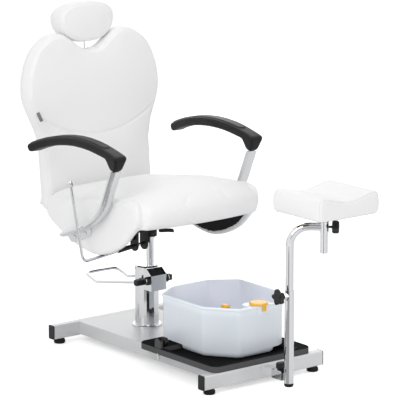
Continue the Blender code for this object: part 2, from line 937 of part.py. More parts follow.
def build_basin():
    low = basin_bottom()
    belly = basin_belly()
    floor = basin_floor()
    top = BASIN_RIM_Z
    wall = BASIN_WALL
    heel = BASIN_HEEL
    stations = (
        (basin_foot_outline(BASIN_LIP + heel * 0.8), low),
        (basin_foot_outline(BASIN_LIP + heel * 0.25), low + heel * 0.25),
        (basin_foot_outline(BASIN_LIP), low + heel),
        (basin_foot_outline(BASIN_LIP), belly),
        (basin_outline(BASIN_LIP), belly + BASIN_STEP),
        (basin_outline(BASIN_LIP), top - BASIN_LIP_HEIGHT),
        (basin_outline(0.0), top - BASIN_LIP_HEIGHT * 0.8),
        (basin_outline(0.0), top - BASIN_LIP_HEIGHT * 0.3),
        (basin_outline(BASIN_LIP * 0.4), top),
        (basin_outline(BASIN_LIP + wall), top),
        (basin_outline(BASIN_LIP + wall), floor + heel),
        (basin_outline(BASIN_LIP + wall + heel * 0.8), floor),
    )
    rings = [ring(outline, "Z", along, (BASIN_X, BASIN_Y)) for outline, along in stations]
    basin = piece("basin", stacked(rings), "basin", basin_plastic())
    post = [
        (0, floor - wall / 2),
        (POST_RADIUS * 1.5, floor - wall / 2),
        (POST_RADIUS * 1.2, floor + POST_HEIGHT * 0.15),
        (POST_RADIUS, floor + POST_HEIGHT),
        (0, floor + POST_HEIGHT),
    ]
    combine(basin, turned(post, (BASIN_X, BASIN_Y, 0), count=FINE), "basin", "UNION")
    shelf_y = BASIN_Y - BASIN_HALF_Y + BASIN_LIP + wall / 2 + LEDGE_DEPTH / 2
    shelf = rounded_rect(LEDGE_LENGTH, LEDGE_DEPTH, 0.016, 4)
    low_shelf = rounded_rect(LEDGE_LENGTH * 0.8, LEDGE_DEPTH * 0.5, 0.012, 4)
    rings = [
        ring(low_shelf, "Z", top - LEDGE_DROP, (BASIN_X, shelf_y - LEDGE_DEPTH * 0.22)),
        ring(shelf, "Z", top - LEDGE_DROP * 0.3, (BASIN_X, shelf_y)),
        ring(shelf, "Z", top - wall * 0.3, (BASIN_X, shelf_y)),
    ]
    combine(basin, stacked(rings), "basin", "UNION")
    at = dial_centre()
    pod = rod(pod_radius(), top - POD_DROP, top + CLEAR, (at.x, at.y, 0))
    combine(basin, pod, "basin", "UNION")


def build_massage_head():
    seat = basin_floor() + POST_HEIGHT + CLEAR
    profile = [
        (0, seat),
        (MASSAGE_RADIUS, seat),
        (MASSAGE_RADIUS, seat + MASSAGE_HEIGHT * 0.6),
        (MASSAGE_RADIUS * 0.7, seat + MASSAGE_HEIGHT),
        (0, seat + MASSAGE_HEIGHT),
    ]
    shape = turned(profile, (BASIN_X, BASIN_Y, 0), count=FINE)
    piece("massage_head", shape, "massage head", yellow_plastic())


def build_dial():
    """Flat dial on the rim's pod, with a finger tab that hangs down outside the pod."""
    at = dial_centre()
    profile = [
        (0, 0),
        (DIAL_RADIUS, 0),
        (DIAL_RADIUS, DIAL_HEIGHT * 0.6),
        (DIAL_RADIUS * 0.88, DIAL_HEIGHT),
        (0, DIAL_HEIGHT),
    ]
    dial = piece("basin_dial", turned(profile, at), "dial", yellow_plastic())
    inner = DIAL_RADIUS - DIAL_SKIRT
    outer = DIAL_RADIUS - DIAL_SKIRT * 0.1
    tab = []
    for reach, order in ((inner, 1), (outer, -1)):
        for i in range(5):
            angle = -math.pi / 2 + order * lerp(-DIAL_TAB_ANGLE, DIAL_TAB_ANGLE, i / 4)
            tab.append((reach * math.cos(angle), reach * math.sin(angle)))
    shape = extruded(tab, "Z", at.z - DIAL_TAB_DROP, at.z + DIAL_HEIGHT * 0.4, (at.x, at.y))
    combine(dial, shape, "dial", "UNION")


# Pump, piston and pedal

def snout_outline():
    top = cover_top() - SNOUT_TOP_DROP
    slant_y = SNOUT_Y + SNOUT_SLANT_DEPTH
    return [
        (SNOUT_Y, top - SNOUT_HEIGHT),
        (0.0, top - SNOUT_HEIGHT),
        (0.0, top),
        (slant_y, top),
        (SNOUT_Y, top - SNOUT_SLANT_DROP),
    ]


def build_pump():
    flange = [
        (0, bar_top() + CLEAR),
        (FLANGE_RADIUS, bar_top() + CLEAR),
        (FLANGE_RADIUS, flange_top() - 0.002),
        (FLANGE_RADIUS - 0.002, flange_top()),
        (0, flange_top()),
    ]
    piece("pump_flange", turned(flange, (0, 0, 0)), "base", chrome())

    low = flange_top() + CLEAR
    top = cover_top()
    shell = [
        (0, low),
        (COVER_RADIUS, low),
        (COVER_RADIUS, top - 0.004),
        (COVER_RADIUS - 0.004, top),
        (0, top),
    ]
    cover = piece("pump_cover", turned(shell, (0, 0, 0)), "base", chrome())
    half = SNOUT_WIDTH / 2
    combine(cover, extruded(snout_outline(), "X", -half, half), "base", "UNION")
    port = rod(PISTON_RADIUS + RUN, top - 0.02, top + 0.02, (0, PISTON_Y, 0))
    combine(cover, port, "base", "DIFFERENCE")
    bore = rod(
        PEDAL_SHAFT_RADIUS + RUN,
        -SNOUT_WIDTH,
        SNOUT_WIDTH,
        (0, PEDAL_AXIS_Y, PEDAL_AXIS_Z),
        "X",
        FINE,
    )
    combine(cover, bore, "base", "DIFFERENCE")
    room = rod(COVER_RADIUS - COVER_WALL, low - 0.01, top - COVER_TOP, (0, 0, 0))
    combine(cover, room, "base", "DIFFERENCE")
    inside = inset(snout_outline(), SNOUT_WALL)
    inside[1] = (0.004, inside[1][1])
    inside[2] = (0.004, inside[2][1])
    combine(cover, extruded(inside, "X", SNOUT_WALL - half, half - SNOUT_WALL), "base", "DIFFERENCE")

    barrel_top = top - COVER_TOP - CYLINDER_SHORT
    outer = circle(CYLINDER_RADIUS, ROUND)
    inner = circle(PISTON_RADIUS + RUN, ROUND)
    barrel = hollow(outer, inner, "Z", low, barrel_top, (0.0, PISTON_Y))
    cylinder = piece("pump_cylinder", barrel, "base", dark_steel())
    guide_y = plunger_y()
    guide_front = guide_y - PLUNGER_RADIUS - 0.0025
    guide_back = PISTON_Y - (CYLINDER_RADIUS + PISTON_RADIUS) / 2
    guide_top = plunger_top() - PLUNGER_LENGTH * 0.45
    guide = block(
        (0.014, guide_back - guide_front, PLUNGER_LENGTH * 0.5),
        (0, (guide_back + guide_front) / 2, guide_top - PLUNGER_LENGTH * 0.25),
    )
    combine(cylinder, guide, "base", "UNION")
    way = rod(PLUNGER_RADIUS + RUN, guide_top - PLUNGER_LENGTH, guide_top + 0.01, (0, guide_y, 0), count=FINE)
    combine(cylinder, way, "base", "DIFFERENCE")


def build_piston():
    top = carrier_under_at(PISTON_Y) - PISTON_STOP
    collar_top = HUB_BOTTOM - CLEAR
    profile = [
        (0, PISTON_BOTTOM),
        (PISTON_RADIUS, PISTON_BOTTOM),
        (PISTON_RADIUS, collar_top - PISTON_COLLAR_HEIGHT),
        (PISTON_COLLAR_RADIUS, collar_top - PISTON_COLLAR_HEIGHT),
        (PISTON_COLLAR_RADIUS, collar_top),
        (PISTON_RADIUS, collar_top),
        (PISTON_RADIUS, top),
        (0, top),
    ]
    piece("pump_piston", turned(profile, (0, PISTON_Y, 0)), "lift", chrome())


def plunger_y():
    return PEDAL_AXIS_Y + PLUNGER_ARM


def plunger_top():
    return PEDAL_AXIS_Z - FINGER_DROP - CLEAR


def build_plunger():
    top = plunger_top()
    shape = rod(PLUNGER_RADIUS, top - PLUNGER_LENGTH, top, (0, plunger_y(), 0), count=FINE)
    piece("pump_plunger", shape, "plunger", chrome())


def lug_inner_x():
    return SNOUT_WIDTH / 2 + CLEAR


def build_pedal():
    axis = (0, PEDAL_AXIS_Y, PEDAL_AXIS_Z)
    lug_out = lug_inner_x() + PEDAL_LUG_THICK
    shaft_end = lug_out + CLEAR + PEDAL_BOLT_HEIGHT / 2
    shape = rod(PEDAL_SHAFT_RADIUS, -shaft_end, shaft_end, axis, "X", FINE)
    shaft = piece("pedal_shaft", shape, "pedal", chrome())
    finger_length = PLUNGER_ARM + PLUNGER_RADIUS
    finger = block(
        (FINGER_WIDTH, finger_length, FINGER_DROP),
        (0, PEDAL_AXIS_Y + finger_length / 2, PEDAL_AXIS_Z - FINGER_DROP / 2),
    )
    combine(shaft, finger, "pedal", "UNION")

    rod_start_y = PEDAL_AXIS_Y + PEDAL_LUG_REACH
    slope = (PEDAL_DIP_Z - PEDAL_AXIS_Z) / (PEDAL_DIP_Y - PEDAL_AXIS_Y)
    rod_start_z = PEDAL_AXIS_Z + slope * PEDAL_LUG_REACH
    for side, word in ((-1, "right"), (1, "left")):
        shape = hollow(
            circle(PEDAL_LUG_RADIUS, FINE),
            circle(PEDAL_SHAFT_RADIUS + CLEAR, FINE),
            "X",
            side * lug_inner_x(),
            side * lug_out,
            (PEDAL_AXIS_Y, PEDAL_AXIS_Z),
        )
        lug = piece(f"pedal_lug_{word}", shape, "pedal", dark_steel())
        reach_low = PEDAL_AXIS_Y + PEDAL_LUG_RADIUS * 0.8
        reach_high = rod_start_y
        out = PEDAL_HALF_WIDTH + PEDAL_ROD_RADIUS * 1.6
        shank = block(
            (out - lug_inner_x(), reach_high - reach_low, PEDAL_LUG_RADIUS * 1.3),
            (side * (out + lug_inner_x()) / 2, (reach_high + reach_low) / 2, rod_start_z),
        )
        combine(lug, shank, "pedal", "UNION")
        bolt_low = side * (lug_out + CLEAR)
        bolt_high = side * (lug_out + CLEAR + PEDAL_BOLT_HEIGHT)
        hexagon = circle(PEDAL_BOLT_RADIUS, 6)
        bolt = extruded(hexagon, "X", bolt_low, bolt_high, (PEDAL_AXIS_Y, PEDAL_AXIS_Z))
        combine(shaft, bolt, "pedal", "UNION")

    start_y = rod_start_y + CLEAR
    corners = [
        (-PEDAL_HALF_WIDTH, start_y, rod_start_z),
        (-PEDAL_HALF_WIDTH, PEDAL_DIP_Y, PEDAL_DIP_Z),
        (-PEDAL_HALF_WIDTH, PEDAL_END_Y, PEDAL_END_Z),
        (PEDAL_HALF_WIDTH, PEDAL_END_Y, PEDAL_END_Z),
        (PEDAL_HALF_WIDTH, PEDAL_DIP_Y, PEDAL_DIP_Z),
        (PEDAL_HALF_WIDTH, start_y, rod_start_z),
    ]
    path = filleted(corners, PEDAL_CORNER, 5)
    rings = sections(path, circle(PEDAL_ROD_RADIUS, 12), (1, 0, 0))
    rings[0] = cut_end(rings[0], path[1] - path[0], 1, start_y)
    rings[-1] = cut_end(rings[-1], path[-1] - path[-2], 1, start_y)
    piece("pedal_rod", stacked(rings), "pedal", chrome())


# Seat

def seat_top_at(y):
    slope = (SEAT_SHOULDER_TOP - SEAT_REAR_TOP) / (SEAT_SHOULDER_Y - SEAT_REAR_Y)
    return SEAT_REAR_TOP + slope * (y - SEAT_REAR_Y)


def seat_profile(front_y, crown):
    """One lengthwise section of the seat cushion, from its rear top edge over the front lip."""
    points = []
    for i in range(9):
        share = i / 8
        y = lerp(SEAT_REAR_Y, SEAT_SHOULDER_Y, share)
        lift = crown * math.sin(math.pi * lerp(0.12, 0.5, min(share * 1.6, 1.0)))
        points.append((y, seat_top_at(y) + lift))
    nose_depth = SEAT_SHOULDER_Y - front_y
    for i in range(1, 9):
        angle = math.pi / 2 * i / 8
        y = SEAT_SHOULDER_Y - nose_depth * math.sin(angle) ** SEAT_BOXY
        z = SEAT_NOSE_Z + (SEAT_SHOULDER_TOP + crown - SEAT_NOSE_Z) * math.cos(angle) ** SEAT_BOXY
        points.append((y, z))
    lip_y = front_y + SEAT_LIP
    lip_z = board_top_at(lip_y) + CLEAR
    for i in range(1, 5):
        angle = math.pi / 2 * i / 4
        points.append((lip_y - SEAT_LIP * math.cos(angle), SEAT_NOSE_Z - (SEAT_NOSE_Z - lip_z) * math.sin(angle)))
    for share in (0.33, 0.66, 1.0):
        y = lerp(lip_y, SEAT_REAR_Y, share)
        points.append((y, board_top_at(y) + CLEAR))
    return points


def build_seat_cushion():
    half = SEAT_HALF_WIDTH
    shares = [-1.0, -0.985, -0.94, -0.85, -0.68, -0.46, -0.23, 0.0]
    shares += [-share for share in shares[-2::-1]]
    rings = []
    for share in shares:
        bow = 1 - share * share
        outline = seat_profile(SEAT_FRONT_Y - SEAT_BULGE * bow, SEAT_CROWN * (1 - share**4))
        drawn = SEAT_EDGE_ROUND * max(0.0, (abs(share) - 0.94) / 0.06) ** 2
        outline = [
            (y + (drawn if y < SEAT_SHOULDER_Y else 0.0), max(z - drawn, board_top_at(y) + CLEAR))
            for y, z in outline
        ]
        rings.append(ring(outline, "X", share * half))
    piece("seat_cushion", stacked(rings), "seat", white_leather(), 50)


def panel_outline():
    """Side view of a seat panel: the cushion's edge above, a deep belly below."""
    nose = SEAT_FRONT_Y + SEAT_BULGE - PANEL_NOSE_AHEAD
    keys = [
        (PANEL_REAR_Y, seat_top_at(PANEL_REAR_Y) - 0.004),
        (SEAT_SHOULDER_Y, SEAT_SHOULDER_TOP - 0.002),
        (lerp(SEAT_SHOULDER_Y, nose, 0.76), SEAT_SHOULDER_TOP),
        (lerp(SEAT_SHOULDER_Y, nose, 0.94), lerp(SEAT_SHOULDER_TOP, SEAT_NOSE_Z, 0.27)),
        (nose, lerp(SEAT_SHOULDER_TOP, SEAT_NOSE_Z, 0.82)),
        (lerp(PANEL_BELLY_Y, nose, 0.965), lerp(PANEL_BELLY_Z, SEAT_NOSE_Z, 0.89)),
        (lerp(PANEL_BELLY_Y, nose, 0.85), lerp(PANEL_BELLY_Z, SEAT_NOSE_Z, 0.66)),
        (lerp(PANEL_BELLY_Y, nose, 0.64), lerp(PANEL_BELLY_Z, SEAT_NOSE_Z, 0.32)),
        (lerp(PANEL_BELLY_Y, nose, 0.30), lerp(PANEL_BELLY_Z, SEAT_NOSE_Z, 0.055)),
        (PANEL_BELLY_Y, PANEL_BELLY_Z),
        (lerp(PANEL_BELLY_Y, PANEL_REAR_Y, 0.5), lerp(PANEL_BELLY_Z, PANEL_REAR_LOW, 0.30)),
        (PANEL_REAR_Y, PANEL_REAR_LOW),
    ]
    points = []
    count = len(keys)
    for i in range(count):
        before, here, after, beyond = (Vector(keys[(i + j - 1) % count]) for j in range(4))
        straight = i in (0, count - 1)
        for step in range(5):
            t = step / 5
            if straight:
                points.append(tuple(here.lerp(after, t)))
                continue
            pull = (after - before) * 0.5
            push = (beyond - here) * 0.5
            spot = here * (2 * t**3 - 3 * t * t + 1) + after * (3 * t * t - 2 * t**3)
            spot += pull * (t**3 - 2 * t * t + t) + push * (t**3 - t * t)
            points.append(tuple(spot))
    return points


def build_side_panels():
    outline = panel_outline()
    centre = (lerp(PANEL_REAR_Y, SEAT_FRONT_Y, 0.5), lerp(PANEL_BELLY_Z, SEAT_SHOULDER_TOP, 0.55))
    near = SEAT_HALF_WIDTH + CLEAR
    far = panel_outer_x()
    stations = (
        (inset(outline, PANEL_EDGE * 0.3), near),
        (outline, near + PANEL_THICK * 0.15),
        (inset(outline, -PANEL_SWELL), near + PANEL_THICK * 0.5),
        (inset(outline, PANEL_EDGE * 0.15), near + PANEL_THICK * 0.78),
        (inset(outline, PANEL_EDGE * 0.6), near + PANEL_THICK * 0.92),
        (scaled(outline, 0.93, centre), far - 0.0008),
        (scaled(outline, 0.72, centre), far),
    )
    for side, word in ((-1, "right"), (1, "left")):
        rings = [ring(points, "X", side * along) for points, along in stations]
        piece(f"seat_side_{word}", stacked(rings), "seat", white_leather(), 50)


def tilted_slab(x_half, low_y, high_y, top_at, thick):
    """A flat slab parallel to the seat board."""
    drop = thick / math.cos(SEAT_TILT)
    outline = [
        (low_y, top_at(low_y) - drop),
        (high_y, top_at(high_y) - drop),
        (high_y, top_at(high_y)),
        (low_y, top_at(low_y)),
    ]
    return extruded(outline, "X", -x_half, x_half)


def build_seat_board():
    low_y = SEAT_FRONT_Y + SEAT_LIP + BOARD_FRONT_INSET
    high_y = SEAT_REAR_Y - BOARD_INSET
    shape = tilted_slab(SEAT_HALF_WIDTH, low_y, high_y, board_top_at, BOARD_THICK)
    piece("seat_board", shape, "seat", plywood())


def build_carrier():
    low_y = CARRIER_Y - CARRIER_LENGTH / 2
    high_y = CARRIER_Y + CARRIER_LENGTH / 2

    def top_at(y):
        return board_under_at(y) - CLEAR

    shape = tilted_slab(CARRIER_WIDTH / 2, low_y, high_y, top_at, CARRIER_THICK)
    carrier = piece("seat_carrier", shape, "seat", dark_steel())
    middle = carrier_under_at(PISTON_Y)
    hub = rod(HUB_RADIUS, HUB_BOTTOM, middle + CARRIER_THICK / 2, (0, PISTON_Y, 0))
    combine(carrier, hub, "seat", "UNION")
    bore = rod(PISTON_RADIUS + RUN, HUB_BOTTOM - 0.01, middle - PISTON_STOP / 2, (0, PISTON_Y, 0))
    combine(carrier, bore, "seat", "DIFFERENCE")


# Armrests

def pad_outline():
    """Side view of an armrest pad: an arched bar that drops to a block at the front."""
    (centre_y, centre_z), radius, angles = arc_through(PAD_REAR, PAD_CROWN, PAD_FRONT, 9)
    half = PAD_THICK / 2
    upper = [(centre_y + (radius + half) * math.cos(a), centre_z + (radius + half) * math.sin(a)) for a in angles]
    lower = [(centre_y + (radius - half) * math.cos(a), centre_z + (radius - half) * math.sin(a)) for a in angles]
    block_y = PAD_FRONT[0]
    block_z = PAD_FRONT[1] - PAD_BLOCK_DROP
    nose = (block_y - PAD_NOSE, PAD_FRONT[1] + PAD_THICK * 0.1)
    toe = (block_y - PAD_BLOCK_WIDTH * 0.75, block_z)
    heel = (block_y + PAD_BLOCK_WIDTH * 0.25, block_z)
    kept = [point for point in lower if point[0] > heel[0] + PAD_THICK * 0.7]
    corner = (heel[0] + PAD_THICK * 0.25, kept[-1][1] - PAD_THICK * 0.2)
    outline = upper + [nose, toe, heel, corner] + kept[::-1]
    return round_corners(outline, 0.010, 2)


def pad_width_share(y, z):
    """Share of the pad's width at a point of its side view: the front block narrows towards the tube."""
    if y > PAD_FRONT[0] + PAD_BLOCK_WIDTH:
        return 1.0
    under = PAD_THICK / 2
    drop = (PAD_FRONT[1] - under - z) / (PAD_BLOCK_DROP - under)
    return lerp(1.0, PAD_BLOCK_TAPER, min(max(drop, 0.0), 1.0))


def build_arm_pads():
    outline = pad_outline()
    half = PAD_WIDTH / 2
    stations = (
        (inset(outline, PAD_EDGE), -half),
        (inset(outline, PAD_EDGE * 0.3), -half + PAD_EDGE * 0.3),
        (outline, -half + PAD_EDGE),
        (outline, half - PAD_EDGE),
        (inset(outline, PAD_EDGE * 0.3), half - PAD_EDGE * 0.3),
        (inset(outline, PAD_EDGE), half),
    )
    for side, word in ((-1, "right"), (1, "left")):
        rings = []
        for points, offset in stations:
            one = []
            for y, z in points:
                back = max(0.0, (y - PAD_CROWN[0]) / (PAD_REAR[0] - PAD_CROWN[0]))
                x = side * (ARM_X + PAD_FLARE * back * back) + offset * pad_width_share(y, z)
                one.append(Vector((x, y, z)))
            rings.append(one)
        piece(f"arm_pad_{word}", stacked(rings), "seat", black_plastic())


def arm_tube_path(x):
    start = (x, PAD_FRONT[0] - PAD_BLOCK_WIDTH * 0.25, PAD_FRONT[1] - PAD_BLOCK_DROP - CLEAR)
    return filleted([start, (x, *ARM_ELBOW), (x, *ARM_END)], ARM_BEND, 8)


def arm_run():
    """Direction of the armrest tube's lower run along the seat's side, and its start."""
    run = Vector((0, ARM_END[0] - ARM_ELBOW[0], ARM_END[1] - ARM_ELBOW[1])).normalized()
    return run, Vector((0, *ARM_END))


def build_arm_tubes():
    """Flat oval tube with a mounting plate welded under its lower run, and two bolt heads."""
    outline = [(a * ARM_TUBE_WIDE / 2, b * ARM_TUBE_THICK / 2) for a, b in circle(1.0, FINE)]
    run, end = arm_run()
    up = Vector((0, -run.z, run.y))
    plate_in = panel_outer_x() + CLEAR
    plate_out = plate_in + ARM_PLATE_THICK
    middle = end - run * (ARM_PLATE_LENGTH * 0.42) - up * ARM_PLATE_DROP
    flat = rounded_rect(ARM_PLATE_LENGTH, ARM_PLATE_WIDTH, ARM_PLATE_WIDTH * 0.49, 5)
    for side, word in ((-1, "right"), (1, "left")):
        path = arm_tube_path(side * ARM_X)
        rings = sections(path, outline, (1, 0, 0))
        rings[0] = cut_end(rings[0], path[1] - path[0], 2, path[0].z)
        tube = piece(f"arm_tube_{word}", stacked(rings), "seat", chrome())
        sheet = []
        for x in (plate_in, plate_out):
            at = Vector((side * x, 0, 0)) + middle
            sheet.append([at + run * a + up * b for a, b in flat])
        combine(tube, stacked(sheet), "seat", "UNION")
        for end_side in (-0.5, 0.5):
            at = middle + run * (ARM_BOLT_PITCH * end_side) - up * (ARM_PLATE_DROP * 0.5)
            rim = circle(ARM_BOLT_RADIUS, SMALL)
            dome = [
                ring(rim, "X", side * (plate_out - ARM_PLATE_THICK / 3), (at.y, at.z)),
                ring(rim, "X", side * (plate_out + ARM_BOLT_HEIGHT * 0.5), (at.y, at.z)),
                ring(scaled(rim, 0.6, (0, 0)), "X", side * (plate_out + ARM_BOLT_HEIGHT), (at.y, at.z)),
            ]
            combine(tube, stacked(dome), "seat", "UNION")


# Recline lever, its bracket and the swivel lock

def lever_corner():
    return Vector((LEVER_X, LEVER_Y, LEVER_Z))


def lever_axis():
    level = math.cos(LEVER_RISE)
    return Vector((level * math.cos(LEVER_YAW), level * math.sin(LEVER_YAW), math.sin(LEVER_RISE)))


def lever_tip():
    lean = Vector((0, math.sin(LEVER_LEAN), math.cos(LEVER_LEAN)))
    return lever_corner() + lean * LEVER_HEIGHT


def build_lever():
    inner_end = lever_corner() + lever_axis() * LEVER_REACH
    path = filleted([lever_tip(), lever_corner(), inner_end], LEVER_BEND, 6)
    piece("recline_lever", swept(path, circle(LEVER_ROD_RADIUS, 14), (0, 1, 0)), "lever", chrome())

    lean = (lever_tip() - lever_corner()).normalized()
    knob = turned(
        [
            (LEVER_KNOB_RADIUS * math.cos(math.radians(90 * i / 5 - 90 * (5 - i) / 5)),
             LEVER_KNOB_RADIUS * math.sin(math.radians(90 * i / 5 - 90 * (5 - i) / 5)))
            for i in range(6)
        ],
        (0, 0, 0),
        count=FINE,
    )
    turn = Vector((0, 0, 1)).rotation_difference(lean).to_matrix().to_4x4()
    at = lever_tip() + lean * (LEVER_KNOB_RADIUS + CLEAR)
    bmesh.ops.transform(knob, matrix=Matrix.Translation(at) @ turn, verts=knob.verts)
    piece("lever_knob", knob, "lever", chrome())

    start = lever_corner() + lever_axis() * LEVER_SLEEVE_START
    path = [start, start + lever_axis() * LEVER_SLEEVE_LENGTH]
    grip = swept_tube(
        path,
        circle(LEVER_SLEEVE_RADIUS, FINE),
        circle(LEVER_ROD_RADIUS + CLEAR, FINE),
        (0, 1, 0),
    )
    piece("lever_sleeve", grip, "lever", black_plastic())


def lever_at(x):
    """Point of the lever's axis over a given x."""
    axis = lever_axis()
    return lever_corner() + axis * ((x - LEVER_X) / axis.x)


def build_bracket():
    """Two cheeks under the carrier hold the inner end of the lever's rod."""
    half = BRACKET_SPAN / 2
    _, axis_y, axis_z = lever_at(BRACKET_X)
    low_y = axis_y - BRACKET_DEPTH / 2
    high_y = axis_y + BRACKET_DEPTH / 2

    def top_at(y):
        return carrier_under_at(y) - CLEAR

    cheek = [(high_y, top_at(high_y)), (low_y, top_at(low_y))]
    for i in range(9):
        angle = math.pi + math.pi * i / 8
        reach = BRACKET_DEPTH / 2
        cheek.append((axis_y + reach * math.cos(angle), axis_z + reach * math.sin(angle)))
    web = [
        (low_y, top_at(low_y) - BRACKET_SHEET),
        (high_y, top_at(high_y) - BRACKET_SHEET),
        (high_y, top_at(high_y)),
        (low_y, top_at(low_y)),
    ]
    shape = extruded(web, "X", BRACKET_X - half, BRACKET_X + half)
    bracket = piece("recline_bracket", shape, "seat", dark_steel())
    for side in (-1, 1):
        low_x = BRACKET_X + side * half
        high_x = BRACKET_X + side * (half - BRACKET_SHEET)
        combine(bracket, extruded(cheek, "X", min(low_x, high_x), max(low_x, high_x)), "seat", "UNION")
    slack = BRACKET_SHEET * (math.tan(LEVER_RISE) + math.tan(LEVER_YAW)) / 2 + RUN
    start = lever_corner() + lever_axis() * (LEVER_REACH * 0.7)
    end = lever_corner() + lever_axis() * (LEVER_REACH + 0.02)
    way = swept([start, end], circle(LEVER_ROD_RADIUS + slack, FINE), (0, 1, 0))
    combine(bracket, way, "seat", "DIFFERENCE")
    face = BRACKET_X - half
    nut_z = axis_z + BRACKET_NUT_LIFT
    hexagon = circle(BRACKET_NUT_RADIUS, 6)
    nut = extruded(hexagon, "X", face - BRACKET_NUT_HEIGHT, face + BRACKET_SHEET / 2, (axis_y, nut_z))
    combine(bracket, nut, "seat", "UNION")


def build_paddle():
    along = Vector((math.cos(PADDLE_TURN), math.sin(PADDLE_TURN), 0))
    across = Vector((-along.y, along.x, 0))
    origin = Vector((PADDLE_X, PADDLE_Y, PADDLE_Z))
    half = PADDLE_WIDTH / 2
    rings = []
    for share, wide, drop in ((-0.16, 0.7, 0.0), (0.0, 1.0, 0.0), (0.55, 0.9, 0.1), (0.8, 1.0, 0.45), (1.0, 1.0, 1.0)):
        middle = origin + along * (PADDLE_LENGTH * share) - Vector((0, 0, PADDLE_DROOP * drop))
        lift = Vector((0, 0, PADDLE_SHEET))
        side = across * half * wide
        rings.append([middle - side, middle + side, middle + side + lift, middle - side + lift])
    paddle = piece("swivel_lock", stacked(rings), "swivel lock", dark_steel())
    top = carrier_under_at(PADDLE_Y + PADDLE_PIN_RADIUS) - CLEAR
    pin = rod(PADDLE_PIN_RADIUS, PADDLE_Z + PADDLE_SHEET / 2, top, (PADDLE_X, PADDLE_Y, 0), count=FINE)
    combine(paddle, pin, "swivel lock", "UNION")


# Backrest

def back_half_width(height):
    if height < BACK_WIDEST_H:
        share = smoothstep((height - BACK_WAIST_H) / (BACK_WIDEST_H - BACK_WAIST_H))
        return lerp(BACK_WAIST, BACK_WIDEST, share)
    rise = (height - BACK_WIDEST_H) / (BACK_SHOULDER_H - BACK_WIDEST_H)
    return BACK_SHOULDER + (BACK_WIDEST - BACK_SHOULDER) * math.sqrt(max(0.0, 1 - rise * rise))


def back_top(x):
    """Height of the top outline, from the notch up over the shoulder."""
    x = abs(x)
    if x < BACK_SHOULDER:
        share = (x - BACK_NOTCH_FLAT) / (BACK_SHOULDER - BACK_NOTCH_FLAT)
        return lerp(BACK_NOTCH_H, BACK_SHOULDER_H, smoothstep(share))
    share = (x - BACK_SHOULDER) / (BACK_WIDEST - BACK_SHOULDER)
    return lerp(BACK_WIDEST_H, BACK_SHOULDER_H, math.sqrt(max(0.0, 1 - share * share)))


def back_corner():
    """Where the side outline hands over to the top outline, half way round the shoulder."""
    height = lerp(BACK_WIDEST_H, BACK_SHOULDER_H, math.sin(math.pi / 4))
    return back_half_width(height), height


def back_seam(share):
    return lerp(BACK_SEAM_MID_H, BACK_SEAM_SIDE_H, share * share)


def edge_rise(distance):
    """Quarter-round from 0 at an edge to 1 at BACK_EDGE from it."""
    share = min(distance / BACK_EDGE, 1.0)
    return math.sqrt(max(0.0, 1 - (1 - share) ** 2))


def back_rows():
    """Rows up the face as (region, share): below the seam, along it and above it."""
    seam_low = 1 - BACK_SEAM_HALF / BACK_SEAM_MID_H
    seam_high = BACK_SEAM_HALF / (BACK_SHOULDER_H - BACK_SEAM_MID_H)
    lower = [0.0, 0.025, 0.07, 0.2, 0.42, 0.64, 0.82, seam_low]
    upper = [seam_high, 0.12, 0.28, 0.46, 0.64, 0.80, 0.90, 0.96, 1.0]
    return [(0, share) for share in lower] + [(1, 0.0)] + [(1, share) for share in upper]


def back_grid():
    """Rows of (x, height) points over the face, and their depth below its crown."""
    corner_x, corner_h = back_corner()
    columns = [-1.0, -0.985, -0.955, -0.88, -0.74, -0.6, -0.46, -0.34, -0.22, -0.11, 0.0]
    columns += [-column for column in columns[-2::-1]]
    grid = []
    for region, share in back_rows():
        side_h = BACK_SEAM_SIDE_H * share if region == 0 else lerp(BACK_SEAM_SIDE_H, corner_h, share)
        half = back_half_width(side_h)
        row = []
        for column in columns:
            x = column * half
            seam = back_seam(column)
            if region == 0:
                height = seam * share
                gap_low, gap_high = height, BACK_EDGE
            else:
                top = back_top(column * corner_x)
                height = lerp(seam, top, share)
                gap_low, gap_high = BACK_EDGE, top - height
            rise = edge_rise((1 - abs(column)) * half) * edge_rise(gap_low) * edge_rise(gap_high)
            swell = (1 - column * column) * math.sin(math.pi * min(max(height / BACK_SHOULDER_H, 0.0), 1.0))
            depth = BACK_EDGE * (1 - rise) - BACK_CROWN * swell * rise
            if region == 1 and share == 0.0:
                depth += BACK_SEAM_DEPTH * rise
            row.append((x, height, depth))
        grid.append(row)
    return grid


